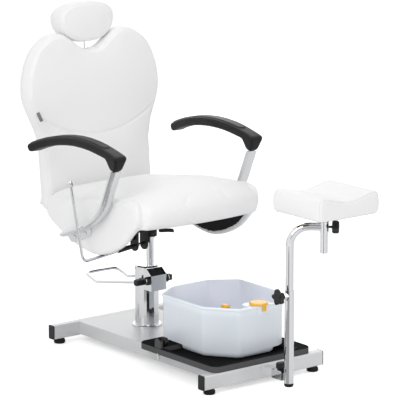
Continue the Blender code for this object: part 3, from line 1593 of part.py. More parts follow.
def build_backrest():
    grid = back_grid()
    shape = bmesh.new()
    rows = [[shape.verts.new(back_point(x, depth, height)) for x, height, depth in row] for row in grid]
    for low, high in zip(rows, rows[1:]):
        for i in range(len(low) - 1):
            shape.faces.new((low[i], low[i + 1], high[i + 1], high[i]))
    rim = [(grid[0][i], rows[0][i]) for i in range(len(rows[0]))]
    rim += [(grid[j][-1], rows[j][-1]) for j in range(1, len(rows))]
    rim += [(grid[-1][i], rows[-1][i]) for i in range(len(rows[0]) - 2, -1, -1)]
    rim += [(grid[j][0], rows[j][0]) for j in range(len(rows) - 2, 0, -1)]
    outline = [(point[0], point[1]) for point, _ in rim]
    previous = [vert for _, vert in rim]
    bands = ((-BACK_SWELL, 0.35), (-BACK_SWELL * 1.2, 0.6), (0.0, 0.93), (BACK_SWELL, 1.0))
    for drawn, share in bands:
        loop = []
        for x, height in inset(outline, drawn):
            rear = back_depth(height) - BACK_BOARD - CLEAR
            depth = lerp(BACK_EDGE, rear, share)
            loop.append(shape.verts.new(back_point(x, depth, height)))
        for i in range(len(loop)):
            j = (i + 1) % len(loop)
            shape.faces.new((previous[i], previous[j], loop[j], loop[i]))
        previous = loop
    rear_face = shape.faces.new(previous)
    bmesh.ops.triangulate(shape, faces=[rear_face])
    cushion = piece("backrest", shape, "back", white_leather(), 50)
    combine(cushion, guide_shape(CLEAR, BACK_NOTCH_H + 0.08, GUIDE_LOW_H - CLEAR), "back", "DIFFERENCE")


def back_outline(drawn):
    """Outline of the backrest as (x, height), counter-clockwise seen from the front."""
    corner_x, corner_h = back_corner()
    right = [(back_half_width(corner_h * i / 14), corner_h * i / 14) for i in range(15)]
    top = [(corner_x * (1 - i / 12), back_top(corner_x * (1 - i / 12))) for i in range(1, 24)]
    left = [(-x, height) for x, height in reversed(right)]
    return inset(right + top + left, drawn)


def build_back_board():
    outline = back_outline(BACK_BOARD_INSET)
    rings = []
    for offset in (BACK_BOARD, 0.0):
        rings.append([back_point(x, back_depth(height) - offset, height) for x, height in outline])
    piece("back_board", stacked(rings), "back", plywood())


def guide_shape(grow, high, low):
    """Outside of the headrest guide sleeve, as a bar through the backrest's notch."""
    wide = STEM_WIDTH / 2 + RUN + GUIDE_WALL + grow
    deep = STEM_THICK / 2 + RUN + GUIDE_WALL + grow
    rings = []
    for height in (low, high):
        corners = ((-wide, -deep), (wide, -deep), (wide, deep), (-wide, deep))
        rings.append([back_point(x, STEM_DEPTH + depth, height) for x, depth in corners])
    return stacked(rings)


def build_guide():
    high = BACK_NOTCH_H - GUIDE_SHORT
    sizes = (
        (STEM_WIDTH / 2 + RUN + GUIDE_WALL, STEM_THICK / 2 + RUN + GUIDE_WALL),
        (STEM_WIDTH / 2 + RUN, STEM_THICK / 2 + RUN),
    )
    rings = []
    for index, height in ((0, GUIDE_LOW_H), (0, high), (1, high), (1, GUIDE_LOW_H)):
        wide, deep = sizes[index]
        corners = ((-wide, -deep), (wide, -deep), (wide, deep), (-wide, deep))
        rings.append([back_point(x, STEM_DEPTH + depth, height) for x, depth in corners])
    piece("headrest_guide", stacked(rings, closed=True), "back", dark_steel())


def build_hinges():
    eye = circle(KNUCKLE_RADIUS, FINE)
    pin_hole = circle(HINGE_PIN_RADIUS + RUN, FINE)
    half = HINGE_WIDTH / 2
    for side, word in ((-1, "right"), (1, "left")):
        middle = side * HINGE_X

        def leaf_top(y):
            return board_under_at(y) - CLEAR

        rear = HINGE_Y - KNUCKLE_RADIUS - 2 * KNUCKLE_GAP
        leaf = [
            (HINGE_FOOT_Y, leaf_top(HINGE_FOOT_Y) - HINGE_SHEET),
            (rear, leaf_top(rear) - HINGE_SHEET),
            (rear, leaf_top(rear)),
            (HINGE_FOOT_Y, leaf_top(HINGE_FOOT_Y)),
        ]
        shape = extruded(leaf, "X", middle - half, middle + half)
        bracket = piece(f"hinge_bracket_{word}", shape, "seat", dark_steel())
        for end in (-1, 1):
            low = middle + end * half
            high = middle + end * (half - HINGE_EYE)
            ear = [
                (rear - 0.024, leaf_top(rear - 0.024) - HINGE_SHEET),
                (HINGE_Y, HINGE_Z - KNUCKLE_RADIUS),
                (HINGE_Y + KNUCKLE_RADIUS * 0.7, HINGE_Z - KNUCKLE_RADIUS * 0.7),
                (HINGE_Y + KNUCKLE_RADIUS, HINGE_Z),
                (HINGE_Y + KNUCKLE_RADIUS * 0.7, HINGE_Z + KNUCKLE_RADIUS * 0.7),
                (HINGE_Y, HINGE_Z + KNUCKLE_RADIUS),
                (HINGE_Y - KNUCKLE_RADIUS * 0.7, HINGE_Z + KNUCKLE_RADIUS * 0.7),
                (rear - 0.024, leaf_top(rear - 0.024)),
            ]
            combine(bracket, extruded(ear, "X", min(low, high), max(low, high)), "seat", "UNION")
        pin_end = half + HINGE_PIN_HEAD
        rivet = circle(HINGE_PIN_RADIUS, FINE)
        pin = extruded(rivet, "X", middle - pin_end, middle + pin_end, (HINGE_Y, HINGE_Z))
        combine(bracket, pin, "seat", "UNION")

        knuckle_half = half - HINGE_EYE - KNUCKLE_GAP
        outer = extruded(eye, "X", middle - knuckle_half, middle + knuckle_half, (HINGE_Y, HINGE_Z))
        strap = piece(f"hinge_strap_{word}", outer, "back", dark_steel())
        for reach, low_h in ((knuckle_half, -HINGE_STRAP_EDGE), (half, HINGE_STRAP_EDGE)):
            rings = []
            for height in (low_h, HINGE_STRAP_HEIGHT):
                near = back_depth(height) + CLEAR
                far = near + HINGE_SHEET
                flat = ((-reach, near), (reach, near), (reach, far), (-reach, far))
                rings.append([back_point(middle + x, depth, height) for x, depth in flat])
            combine(strap, stacked(rings), "back", "UNION")
        bore = extruded(pin_hole, "X", middle - half - 0.01, middle + half + 0.01, (HINGE_Y, HINGE_Z))
        combine(strap, bore, "back", "DIFFERENCE")


# Headrest

def head_low_h():
    """Underside of the head pad, a little above the backrest's notch."""
    return BACK_NOTCH_H + HEAD_OVER_NOTCH


def head_mid_h():
    return head_low_h() + HEAD_BOTTOM


def stem_low_h():
    return GUIDE_LOW_H + STEM_OVER_GUIDE


def head_outline(count, drawn):
    points = []
    for i in range(count):
        angle = 2 * math.pi * i / count
        side = math.cos(angle)
        rise = math.sin(angle)
        tall = HEAD_TOP if rise > 0 else HEAD_BOTTOM
        reach = (abs(side) ** HEAD_SQUARE + abs(rise) ** HEAD_SQUARE) ** (-1 / HEAD_SQUARE)
        points.append(((HEAD_HALF_WIDTH - drawn) * reach * side, head_mid_h() + (tall - drawn) * reach * rise))
    return points


def build_headrest():
    count = 36
    layers = (
        (HEAD_ROUND * 0.42, 0.0),
        (HEAD_ROUND * 0.18, 0.03),
        (HEAD_ROUND * 0.04, 0.12),
        (0.0, 0.38),
        (HEAD_ROUND * 0.05, 0.62),
        (HEAD_ROUND * 0.35, 0.84),
        (HEAD_ROUND * 0.8, 0.95),
        (HEAD_ROUND * 1.5, 1.0),
    )
    rings = []
    for drawn, share in layers:
        depth = HEAD_SETBACK + HEAD_DEPTH * share
        rings.append([back_point(x, depth, height) for x, height in head_outline(count, drawn)])
    face = [back_point(x, HEAD_SETBACK - HEAD_CROWN, height) for x, height in scaled(
        head_outline(count, HEAD_ROUND), 0.55, (0.0, head_mid_h() - 0.012))]
    pad = piece("headrest", stacked([face] + rings), "headrest", white_leather(), 50)
    low = head_low_h()
    rings = []
    for height in (low - 0.03, low + STEM_IN_PAD + CLEAR):
        wide = STEM_WIDTH / 2 + CLEAR
        deep = STEM_THICK / 2 + CLEAR
        corners = ((-wide, -deep), (wide, -deep), (wide, deep), (-wide, deep))
        rings.append([back_point(x, STEM_DEPTH + depth, height) for x, depth in corners])
    combine(pad, stacked(rings), "headrest", "DIFFERENCE")
    rings = []
    for height in (stem_low_h(), low + STEM_IN_PAD):
        wide = STEM_WIDTH / 2
        deep = STEM_THICK / 2
        corners = ((-wide, -deep), (wide, -deep), (wide, deep), (-wide, deep))
        rings.append([back_point(x, STEM_DEPTH + depth, height) for x, depth in corners])
    piece("headrest_stem", stacked(rings), "headrest", chrome())


# Footrest

def build_receiver():
    inner_side = RECEIVER_SIDE - 2 * RECEIVER_WALL
    shape = hollow(
        receiver_outline(RECEIVER_SIDE),
        receiver_outline(inner_side),
        "Y",
        RECEIVER_FRONT_Y,
        RECEIVER_REAR_Y,
        (0, RECEIVER_Z),
    )
    piece("footrest_receiver", shape, "base", silver_paint())
    bore = RECEIVER_SIDE + 2 * CLEAR
    sleeve_front = RECEIVER_FRONT_Y - SLEEVE_OVERHANG
    shape = hollow(
        receiver_outline(bore + 2 * SLEEVE_WALL),
        receiver_outline(bore),
        "Y",
        sleeve_front,
        sleeve_front + SLEEVE_LENGTH,
        (0, RECEIVER_Z),
    )
    piece("clamp_sleeve", shape, "base", chrome())


def sleeve_top():
    return RECEIVER_Z + RECEIVER_SIDE / 2 + CLEAR + SLEEVE_WALL


def sleeve_knob_y():
    return RECEIVER_FRONT_Y - SLEEVE_OVERHANG + SLEEVE_LENGTH * 0.42


def build_carrier_knob():
    count = 32
    wing = lobed(CARRIER_KNOB_RADIUS, 0.30, 2, count)
    low = sleeve_top() + CLEAR
    neck = circle(CARRIER_KNOB_RADIUS * 0.5, count)
    stations = (
        (circle(CARRIER_KNOB_RADIUS * 0.9, count), low),
        (circle(CARRIER_KNOB_RADIUS * 0.9, count), low + CARRIER_KNOB_NECK * 0.5),
        (neck, low + CARRIER_KNOB_NECK * 0.5),
        (neck, low + CARRIER_KNOB_NECK),
        (scaled(wing, 0.85, (0, 0)), low + CARRIER_KNOB_NECK),
        (wing, low + CARRIER_KNOB_NECK + CARRIER_KNOB_HEIGHT * 0.2),
        (wing, low + CARRIER_KNOB_NECK + CARRIER_KNOB_HEIGHT * 0.8),
        (scaled(wing, 0.8, (0, 0)), low + CARRIER_KNOB_NECK + CARRIER_KNOB_HEIGHT),
    )
    shape = stacked([ring(outline, "Z", along, (0, sleeve_knob_y())) for outline, along in stations])
    piece("carrier_knob", shape, "carrier knob", black_plastic())


def carrier_side():
    return RECEIVER_SIDE - 2 * RECEIVER_WALL - 2 * RUN


def build_lower_post():
    """Upright tube with the carrier bar and the clamp nut welded to it."""
    at = (0, POST_Y, 0)
    post = piece("lower_post", rod(POST_OUTER, POST_BOTTOM, POST_TOP, at), "carrier", chrome())
    bar = extruded(
        rounded_rect(carrier_side(), carrier_side(), 0.0015, 2),
        "Y",
        POST_Y + POST_OUTER / 3,
        POST_Y + POST_OUTER + CARRIER_BAR_LENGTH,
        (0, RECEIVER_Z),
    )
    combine(post, bar, "carrier", "UNION")
    nut = extruded(
        circle(CLAMP_NUT_RADIUS, 6),
        "X",
        -POST_OUTER - CLAMP_NUT_LENGTH,
        -POST_OUTER / 3,
        (POST_Y, CLAMP_Z),
    )
    combine(post, nut, "carrier", "UNION")
    bore = rod(POST_OUTER - POST_WALL, POST_BOTTOM - 0.01, POST_TOP + 0.01, at)
    combine(post, bore, "carrier", "DIFFERENCE")
    low = POST_BOTTOM - CLEAR
    plug = POST_OUTER - POST_WALL - CLEAR
    profile = [
        (0, low - POST_CAP_HEIGHT),
        (POST_OUTER * 0.85, low - POST_CAP_HEIGHT),
        (POST_OUTER, low - POST_CAP_HEIGHT * 0.6),
        (POST_OUTER, low),
        (plug, low),
        (plug, low + POST_CAP_PLUG),
        (0, low + POST_CAP_PLUG),
    ]
    piece("post_cap", turned(profile, (0, POST_Y, 0)), "carrier", black_rubber())


def star_rings(radius, depth, stud_radius, stud, lobes, swing):
    """Stations of a hand knob along its axis, as (outline, distance from its seat)."""
    count = 40
    grip = lobed(radius, swing, lobes, count)
    return (
        (circle(stud_radius, count), 0.0),
        (circle(stud_radius, count), stud),
        (scaled(grip, 0.82, (0, 0)), stud),
        (grip, stud + depth * 0.2),
        (grip, stud + depth * 0.8),
        (scaled(grip, 0.8, (0, 0)), stud + depth),
    )


def build_star_knob():
    face = -POST_OUTER - CLAMP_NUT_LENGTH - CLEAR
    rings = []
    for outline, along in star_rings(STAR_RADIUS, STAR_DEPTH, STAR_STUD_RADIUS, STAR_STUD, 5, 0.22):
        rings.append(ring(outline, "X", face - along, (POST_Y, CLAMP_Z)))
    piece("star_knob", stacked(rings), "star knob", black_plastic())


def build_upper_post():
    along = arm_direction()
    elbow = Vector((0, POST_Y, ARM_HEIGHT))
    points = [
        Vector((0, POST_Y, UPPER_BOTTOM)),
        elbow,
        collar_centre() - along * (COLLAR_OUTER * 0.55),
    ]
    path = filleted(points, ARM_RADIUS, 8)
    side = Vector((along.y, -along.x, 0))
    shape = swept_tube(path, circle(UPPER_OUTER, FINE), circle(UPPER_OUTER - UPPER_WALL, FINE), side)
    tube = piece("upper_post", shape, "upper post", chrome())
    at = collar_centre()
    low = ARM_HEIGHT - COLLAR_HEIGHT / 2
    high = ARM_HEIGHT + COLLAR_HEIGHT / 2
    combine(tube, rod(COLLAR_OUTER, low, high, (at.x, at.y, 0)), "upper post", "UNION")
    bore = rod(PADSTEM_OUTER + RUN, low - 0.02, high + 0.02, (at.x, at.y, 0))
    combine(tube, bore, "upper post", "DIFFERENCE")


def build_collar_knob():
    along = arm_direction()
    across = Vector((-along.y, along.x, 0))
    up = Vector((0, 0, 1))
    at = collar_centre() + along * (COLLAR_OUTER + CLEAR)
    rings = []
    stations = star_rings(COLLAR_KNOB_RADIUS, COLLAR_KNOB_DEPTH, COLLAR_KNOB_STUD_RADIUS, COLLAR_KNOB_STUD, 4, 0.18)
    for outline, distance in stations:
        rings.append([at + along * distance + across * a + up * b for a, b in outline])
    piece("collar_knob", stacked(rings), "collar knob", black_plastic())


def build_rest():
    at = collar_centre()
    high = rest_top_plate()
    low_plate = high - REST_PLATE_THICK
    tube = hollow(
        circle(PADSTEM_OUTER, ROUND),
        circle(PADSTEM_OUTER - PADSTEM_WALL, ROUND),
        "Z",
        PADSTEM_BOTTOM,
        low_plate + REST_PLATE_THICK / 2,
        (at.x, at.y),
    )
    stem = piece("rest_stem", tube, "rest", chrome())
    plate = block((REST_PLATE, REST_PLATE, REST_PLATE_THICK), (at.x, at.y, low_plate + REST_PLATE_THICK / 2))
    combine(stem, plate, "rest", "UNION")

    board = (REST_WIDTH - 2 * REST_BOARD_INSET, REST_LENGTH - 2 * REST_BOARD_INSET, REST_BOARD)
    middle = Vector((at.x + REST_SHIFT, at.y, REST_BOTTOM + REST_BOARD / 2))
    piece("rest_board", block(board, middle), "rest", plywood())
    build_rest_cushion(middle)


def rest_profile(drawn, sink):
    """Cross-section of the footrest pad: straight sides and a trough along the top."""
    half = REST_WIDTH / 2 - drawn
    low = REST_BOTTOM + REST_BOARD + CLEAR
    high = low + REST_HEIGHT - sink
    edge = REST_EDGE
    points = [(-half + edge * 0.4, low), (half - edge * 0.4, low)]
    points += [(half, low + edge * 0.5), (half + REST_SWELL, low + REST_HEIGHT * 0.5)]
    for i in range(4):
        angle = math.pi / 2 * i / 3
        points.append((half - edge + edge * math.cos(angle), high - edge + edge * math.sin(angle)))
    for i in range(1, 12):
        share = i / 12
        x = lerp(half - edge, -half + edge, share)
        points.append((x, high - REST_TROUGH * math.sin(math.pi * share) ** 1.6))
    for i in range(4):
        angle = math.pi / 2 + math.pi / 2 * i / 3
        points.append((-half + edge + edge * math.cos(angle), high - edge + edge * math.sin(angle)))
    points += [(-half - REST_SWELL, low + REST_HEIGHT * 0.5), (-half, low + edge * 0.5)]
    return points


def build_rest_cushion(at):
    half = REST_LENGTH / 2
    edge = REST_EDGE
    stations = (
        (-half, edge * 0.7, edge * 0.7),
        (-half + edge * 0.3, edge * 0.25, edge * 0.25),
        (-half + edge, 0.0, 0.0),
        (-half * 0.5, 0.0, 0.0),
        (0.0, 0.0, 0.0),
        (half * 0.5, 0.0, 0.0),
        (half - edge, 0.0, 0.0),
        (half - edge * 0.3, edge * 0.25, edge * 0.25),
        (half, edge * 0.7, edge * 0.7),
    )
    rings = []
    for along, drawn, sink in stations:
        rings.append(ring(rest_profile(drawn, sink), "Y", at.y + along, (at.x, 0.0)))
    piece("rest_cushion", stacked(rings), "rest", white_leather(), 50)


# Assembly

def make_bodies():
    body("chair", None, (0, 0, 0))
    body("base", "chair", (0, 0, 0))
    body("tray knob", "base", (-TRAY_WIDTH / 2, TRAY_KNOB_Y, tray_knob_z()))
    body("basin", "base", (BASIN_X, BASIN_Y, basin_bottom()))
    body("massage head", "basin", (BASIN_X, BASIN_Y, basin_bottom()))
    body("dial", "basin", dial_centre())
    body("pedal", "base", (0, PEDAL_AXIS_Y, PEDAL_AXIS_Z))
    body("plunger", "base", (0, plunger_y(), plunger_top()))
    body("lift", "base", (0, PISTON_Y, PISTON_BOTTOM))
    body("seat", "lift", (0, PISTON_Y, HUB_BOTTOM))
    body("lever", "seat", lever_corner())
    body("swivel lock", "seat", (PADDLE_X, PADDLE_Y, PADDLE_Z))
    body("back", "seat", (0, HINGE_Y, HINGE_Z))
    body("headrest", "back", back_point(0, STEM_DEPTH, stem_low_h()))
    body("carrier", "base", (0, POST_Y, RECEIVER_Z))
    body("carrier knob", "base", (0, sleeve_knob_y(), sleeve_top()))
    body("star knob", "carrier", (-POST_OUTER, POST_Y, CLAMP_Z))
    body("upper post", "carrier", (0, POST_Y, ARM_HEIGHT))
    body("collar knob", "upper post", collar_centre())
    body("rest", "upper post", collar_centre())


def centre_chair():
    """Puts the origin under the middle of the chair's bounding box, on the floor."""
    bpy.context.view_layer.update()
    low = Vector((math.inf,) * 3)
    high = Vector((-math.inf,) * 3)
    graph = bpy.context.evaluated_depsgraph_get()
    for obj in bpy.context.scene.objects:
        if obj.type != "MESH" or obj.hide_render:
            continue
        shown = obj.evaluated_get(graph)
        for vert in shown.data.vertices:
            spot = obj.matrix_world @ vert.co
            low = Vector(map(min, low, spot))
            high = Vector(map(max, high, spot))
    middle = (low + high) / 2
    EMPTIES["chair"].location = (-middle.x, -middle.y, -low.z)
    bpy.context.view_layer.update()


def main():
    clear_scene()
    make_bodies()
    build_base()
    build_tray()
    build_tray_knob()
    build_basin()
    build_massage_head()
    build_dial()
    build_pump()
    build_piston()
    build_plunger()
    build_pedal()
    build_seat_cushion()
    build_side_panels()
    build_seat_board()
    build_carrier()
    build_arm_pads()
    build_arm_tubes()
    build_lever()
    build_bracket()
    build_paddle()
    build_backrest()
    build_back_board()
    build_guide()
    build_hinges()
    build_headrest()
    build_receiver()
    build_carrier_knob()
    build_lower_post()
    build_star_knob()
    build_upper_post()
    build_collar_knob()
    build_rest()
    centre_chair()


if __name__ == "__main__":
    main()
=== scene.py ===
"""Looks of a pedicure chair: pump base with basin, swivel seat, reclining back and footrest."""

import math

import bmesh
import bpy
from bpy.props import FloatProperty, FloatVectorProperty, PointerProperty
from mathutils import Matrix, Vector
from mathutils.bvhtree import BVHTree
from mathutils.kdtree import KDTree


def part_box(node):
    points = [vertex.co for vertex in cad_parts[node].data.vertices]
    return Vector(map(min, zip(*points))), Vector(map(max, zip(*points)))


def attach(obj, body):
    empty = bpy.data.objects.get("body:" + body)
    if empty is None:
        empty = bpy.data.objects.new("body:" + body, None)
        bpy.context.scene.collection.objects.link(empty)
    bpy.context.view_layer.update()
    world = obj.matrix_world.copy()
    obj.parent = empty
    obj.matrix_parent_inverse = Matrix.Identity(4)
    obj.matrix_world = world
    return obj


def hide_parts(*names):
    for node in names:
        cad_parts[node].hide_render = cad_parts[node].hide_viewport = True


bl_info = {
    "name": "Pedicure chair",
    "version": (1, 0, 0),
    "blender": (4, 5, 0),
    "location": "View3D > Sidebar > Pedicure chair",
    "description": "Dresses the chair's solids with leatherette, chrome and plastics",
    "category": "Object",
}

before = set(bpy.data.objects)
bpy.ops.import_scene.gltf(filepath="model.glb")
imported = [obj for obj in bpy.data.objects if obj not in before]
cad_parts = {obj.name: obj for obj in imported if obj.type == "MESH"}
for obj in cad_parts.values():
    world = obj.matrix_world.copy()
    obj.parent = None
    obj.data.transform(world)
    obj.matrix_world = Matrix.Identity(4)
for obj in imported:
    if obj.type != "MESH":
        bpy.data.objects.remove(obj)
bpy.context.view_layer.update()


def box_middle(node):
    low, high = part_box(node)
    return (low + high) / 2


# Places that the solids give, and the sizes of the back, head and arms that the seams follow
PUMP = box_middle("pump_flange")
SEAT_FRONT_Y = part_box("seat_cushion")[0].y
BACK_TILT = math.radians(5.0)
BACK_FACE_Y = PUMP.y + 0.243
BACK_BOTTOM_Z = 0.445
BACK_SHOULDER_H = 0.576
BACK_WIDEST_H = 0.385
BACK_WAIST_H = 0.200
BACK_NOTCH_H = 0.513
BACK_SHOULDER = 0.130
BACK_NOTCH_FLAT = 0.016
BACK_WAIST = 0.214
BACK_WIDEST = 0.269
SMILE_MID_H = 0.232
SMILE_SIDE_H = 0.312
HEAD_MID_H = 0.622
HEAD_SETBACK = 0.022
HEAD_DEPTH = 0.090
HEAD_HALF = 0.110
HEAD_TOP = 0.052
HEAD_BOTTOM = 0.084
HEAD_SQUARE = 2.3
ARM_X = 0.279
ARM_FLARE = 0.018
ARM_CROWN_Y = PUMP.y - 0.040
ARM_REAR_Y = PUMP.y + 0.224
ARM_FRONT_Y = PUMP.y - 0.200

# Sewing: the step of a seam's points, and how far off the pad they start before they are laid on it
SEAM_STEP = 0.0015
SEAM_GAP = 0.004

# Padding: how far each pad may fill out, and how long the filling runs
SEAT_FILL = 0.006
BACK_FILL = 0.008
HEAD_FILL = 0.006
FOOT_FILL = 0.005
CLOTH_FRAMES = 20

# Basin: half its plan, and how far its foot keeps inside the tray's left and rear edges
BASIN_HALF = Vector((0.165, 0.1875))
TRAY_FLAT_LEFT = 0.048
TRAY_FLAT_REAR = 0.113

# Camera, fitted to the photograph
CAMERA_TURN = math.radians(-38.2855)
CAMERA_LIFT = math.radians(12.2884)
CAMERA_REACH = 9.1899
CAMERA_TARGET = Vector((0.22538, PUMP.y, 0.45833))
CAMERA_LENS = 246.33
CAMERA_SENSOR = 36.0


# Colours and nodes

def linear(code):
    """An sRGB hex colour as linear red, green and blue."""
    shares = [int(code[i:i + 2], 16) / 255 for i in (1, 3, 5)]
    return tuple(c / 12.92 if c <= 0.04045 else ((c + 0.055) / 1.055) ** 2.4 for c in shares)


def add_node(tree, kind, inputs=None, **settings):
    """Adds a node, sets its properties and inputs, and links the inputs that are sockets."""
    node = tree.nodes.new(kind)
    for name, value in settings.items():
        setattr(node, name, value)
    for name, value in (inputs or {}).items():
        if isinstance(value, bpy.types.NodeSocket):
            tree.links.new(value, node.inputs[name])
        else:
            node.inputs[name].default_value = value
    return node


def new_material(name, **values):
    """A material with one Principled shader, whose even values are set on its sockets."""
    mat = bpy.data.materials.new(name)
    mat.use_nodes = True
    shader = mat.node_tree.nodes["Principled BSDF"]
    for socket, value in values.items():
        shader.inputs[socket.replace("_", " ")].default_value = value
    spot = add_node(mat.node_tree, "ShaderNodeTexCoord").outputs["Object"]
    return mat, mat.node_tree, shader, spot


def noise(tree, spot, size, detail):
    """The value of a noise texture with patches of this size."""
    inputs = {"Vector": spot, "Scale": 1 / size, "Detail": detail}
    return add_node(tree, "ShaderNodeTexNoise", inputs).outputs["Fac"]


def cells(tree, spot, size):
    """Rounded cells of this size, as the distance from their middles."""
    inputs = {"Vector": spot, "Scale": 1 / size}
    return add_node(tree, "ShaderNodeTexVoronoi", inputs, feature="SMOOTH_F1").outputs["Distance"]


def tinted(tree, shader, spot, colour, size, spread):
    """Gives the shader's colour a soft drift between two near tones, in patches of this size."""
    dark = (*[c * (1 - spread) for c in colour[:3]], 1.0)
    light = (*[min(c * (1 + spread), 1.0) for c in colour[:3]], 1.0)
    inputs = {0: noise(tree, spot, size, 3.0), 6: dark, 7: light}
    ramp = add_node(tree, "ShaderNodeMix", inputs, data_type="RGBA")
    tree.links.new(ramp.outputs[2], shader.inputs["Base Color"])


def roughened(tree, shader, spot, size, low, high):
    """Drifts the roughness between two values, as handling and polishing leave it."""
    inputs = {"Value": noise(tree, spot, size, 4.0), "To Min": low, "To Max": high}
    span = add_node(tree, "ShaderNodeMapRange", inputs)
    tree.links.new(span.outputs["Result"], shader.inputs["Roughness"])


def bumped(tree, shader, height, strength, depth):
    """Raises the surface by a texture's height, over any relief that the shader already has."""
    inputs = {"Height": height, "Strength": strength, "Distance": depth}
    if shader.inputs["Normal"].is_linked:
        inputs["Normal"] = shader.inputs["Normal"].links[0].from_socket
    bump = add_node(tree, "ShaderNodeBump", inputs)
    tree.links.new(bump.outputs["Normal"], shader.inputs["Normal"])


def leatherette(colour):
    # PVC-coated cloth, embossed with a pebble grain of about 1.6 mm: a pale satin skin with soft, broad
    # highlights. The grain only shows close up, and slow hollows of 60 mm show how the foam gives.
    mat, tree, shader, spot = new_material(
        "white embossed leatherette", IOR=1.5, Specular_IOR_Level=0.4)
    tinted(tree, shader, spot, colour, 0.12, 0.012)
    roughened(tree, shader, spot, 0.05, 0.50, 0.60)
    bumped(tree, shader, noise(tree, spot, 0.06, 2.0), 0.12, 0.006)
    bumped(tree, shader, cells(tree, spot, 0.0016), 0.22, 0.0004)
    return mat


def dust_cover(colour):
    # Black non-woven polypropylene stapled under the seat: matt, with a bonded dot pattern 2.5 mm apart.
    mat, tree, shader, spot = new_material("black non-woven dust cover", IOR=1.49)
    tinted(tree, shader, spot, colour, 0.03, 0.25)
    roughened(tree, shader, spot, 0.01, 0.86, 0.96)
    inputs = {"Vector": spot, "Scale": 1 / 0.0025, "Randomness": 0.2}
    dots = add_node(tree, "ShaderNodeTexVoronoi", inputs)
    bumped(tree, shader, dots.outputs["Distance"], 0.4, 0.0004)
    return mat


def sewing_thread(colour):
    # Bonded polyester thread of 0.9 mm, twisted: the ply shows as slanted bands every 0.8 mm.
    mat, tree, shader, spot = new_material("white polyester thread", Roughness=0.6)
    shader.inputs["Base Color"].default_value = (*colour[:3], 1.0)
    inputs = {"Vector": spot, "Scale": 1 / 0.0008}
    ply = add_node(tree, "ShaderNodeTexWave", inputs, bands_direction="DIAGONAL")
    bumped(tree, shader, ply.outputs["Fac"], 0.3, 0.0002)
    return mat


def chromed_steel(colour, name="chromium-plated steel", clear=0.05, hazy=0.11):
    # Polished and chromium-plated steel tube: a bright mirror with faint haze patches of about 40 mm.
    # Tube that is only brushed before plating mirrors less sharply.
    mat, tree, shader, spot = new_material(name, Metallic=1.0)
    tinted(tree, shader, spot, colour, 0.04, 0.015)
    roughened(tree, shader, spot, 0.04, clear, hazy)
    return mat


def silver_coat(colour):
    # Sheet and box-section steel in silver powder coat: aluminium flake of about 1 mm gives a satin sparkle
    # and a slight orange peel of 3 mm. The flake is drawn coarser than it is so that it shows.
    mat, tree, shader, spot = new_material("silver powder coat", Metallic=0.3)
    tinted(tree, shader, spot, colour, 0.0011, 0.05)
    roughened(tree, shader, spot, 0.02, 0.34, 0.44)
    bumped(tree, shader, noise(tree, spot, 0.003, 2.0), 0.10, 0.0004)
    return mat


def black_coat(colour):
    # Black powder coat on brackets: satin, with orange peel of about 2.5 mm.
    mat, tree, shader, spot = new_material("black powder coat", IOR=1.5, Specular_IOR_Level=0.35)
    tinted(tree, shader, spot, colour, 0.03, 0.15)
    roughened(tree, shader, spot, 0.015, 0.42, 0.56)
    bumped(tree, shader, noise(tree, spot, 0.0025, 2.0), 0.18, 0.0005)
    return mat


def moulded_black(colour):
    # Injection-moulded ABS with a spark-eroded texture of about 0.9 mm: dark, satin, paler at grazing light.
    mat, tree, shader, spot = new_material("moulded black ABS", IOR=1.54, Specular_IOR_Level=0.35)
    tinted(tree, shader, spot, colour, 0.05, 0.12)
    roughened(tree, shader, spot, 0.02, 0.40, 0.52)
    bumped(tree, shader, noise(tree, spot, 0.0009, 3.0), 0.25, 0.0003)
    return mat


def tray_sheet(colour):
    # Vacuum-formed ABS sheet with a hair-cell texture of about 1.2 mm: black and nearly without gloss. Its
    # upright faces are painted paler than the top, a painted sheen for the bright room that they mirror.
    mat, tree, shader, spot = new_material("textured black ABS sheet", IOR=1.54, Specular_IOR_Level=0.06)
    tinted(tree, shader, spot, colour, 0.08, 0.15)
    even = shader.inputs["Base Color"].links[0].from_socket
    # Painted sheen: faces that stand upright get this paler grey, and the top keeps the black.
    edge = (*linear("#565657"), 1.0)
    facing = add_node(tree, "ShaderNodeNewGeometry").outputs["Normal"]
    level = add_node(tree, "ShaderNodeSeparateXYZ", {0: facing}).outputs["Z"]
    sheen_mask = add_node(tree, "ShaderNodeMapRange", {"Value": level, "From Min": 0.2, "From Max": 0.8})
    sheen_mix = add_node(tree, "ShaderNodeMix", {0: sheen_mask.outputs["Result"], 6: edge, 7: even}, data_type="RGBA")
    tree.links.new(sheen_mix.outputs[2], shader.inputs["Base Color"])
    roughened(tree, shader, spot, 0.03, 0.80, 0.92)
    bumped(tree, shader, cells(tree, spot, 0.0012), 0.3, 0.0004)
    return mat


def woven_tape(colour):
    # Woven polyester tape: plain weave of 1 mm, matt, with the yarns standing a little proud.
    mat, tree, shader, spot = new_material("grey woven tape", Roughness=0.85)
    tinted(tree, shader, spot, colour, 0.004, 0.12)
    warp = add_node(tree, "ShaderNodeTexChecker", {"Vector": spot, "Scale": 1 / 0.001})
    bumped(tree, shader, warp.outputs["Fac"], 0.3, 0.0002)
    return mat


def foam_skin(colour):
    # Self-skinned polyurethane armrest: a soft black skin with a leather-like grain of about 1.3 mm.
    mat, tree, shader, spot = new_material(
        "black self-skinned polyurethane", IOR=1.5, Specular_IOR_Level=0.28)
    tinted(tree, shader, spot, colour, 0.06, 0.12)
    roughened(tree, shader, spot, 0.03, 0.38, 0.50)
    bumped(tree, shader, cells(tree, spot, 0.0013), 0.25, 0.0004)
    return mat


def black_rubber(colour):
    # Moulded rubber feet and post cap: matt, dusty, with a fine tooth of 0.7 mm.
    mat, tree, shader, spot = new_material("moulded black rubber", IOR=1.52, Specular_IOR_Level=0.3)
    tinted(tree, shader, spot, colour, 0.012, 0.3)
    roughened(tree, shader, spot, 0.01, 0.72, 0.88)
    bumped(tree, shader, noise(tree, spot, 0.0007, 2.0), 0.3, 0.0003)
    return mat


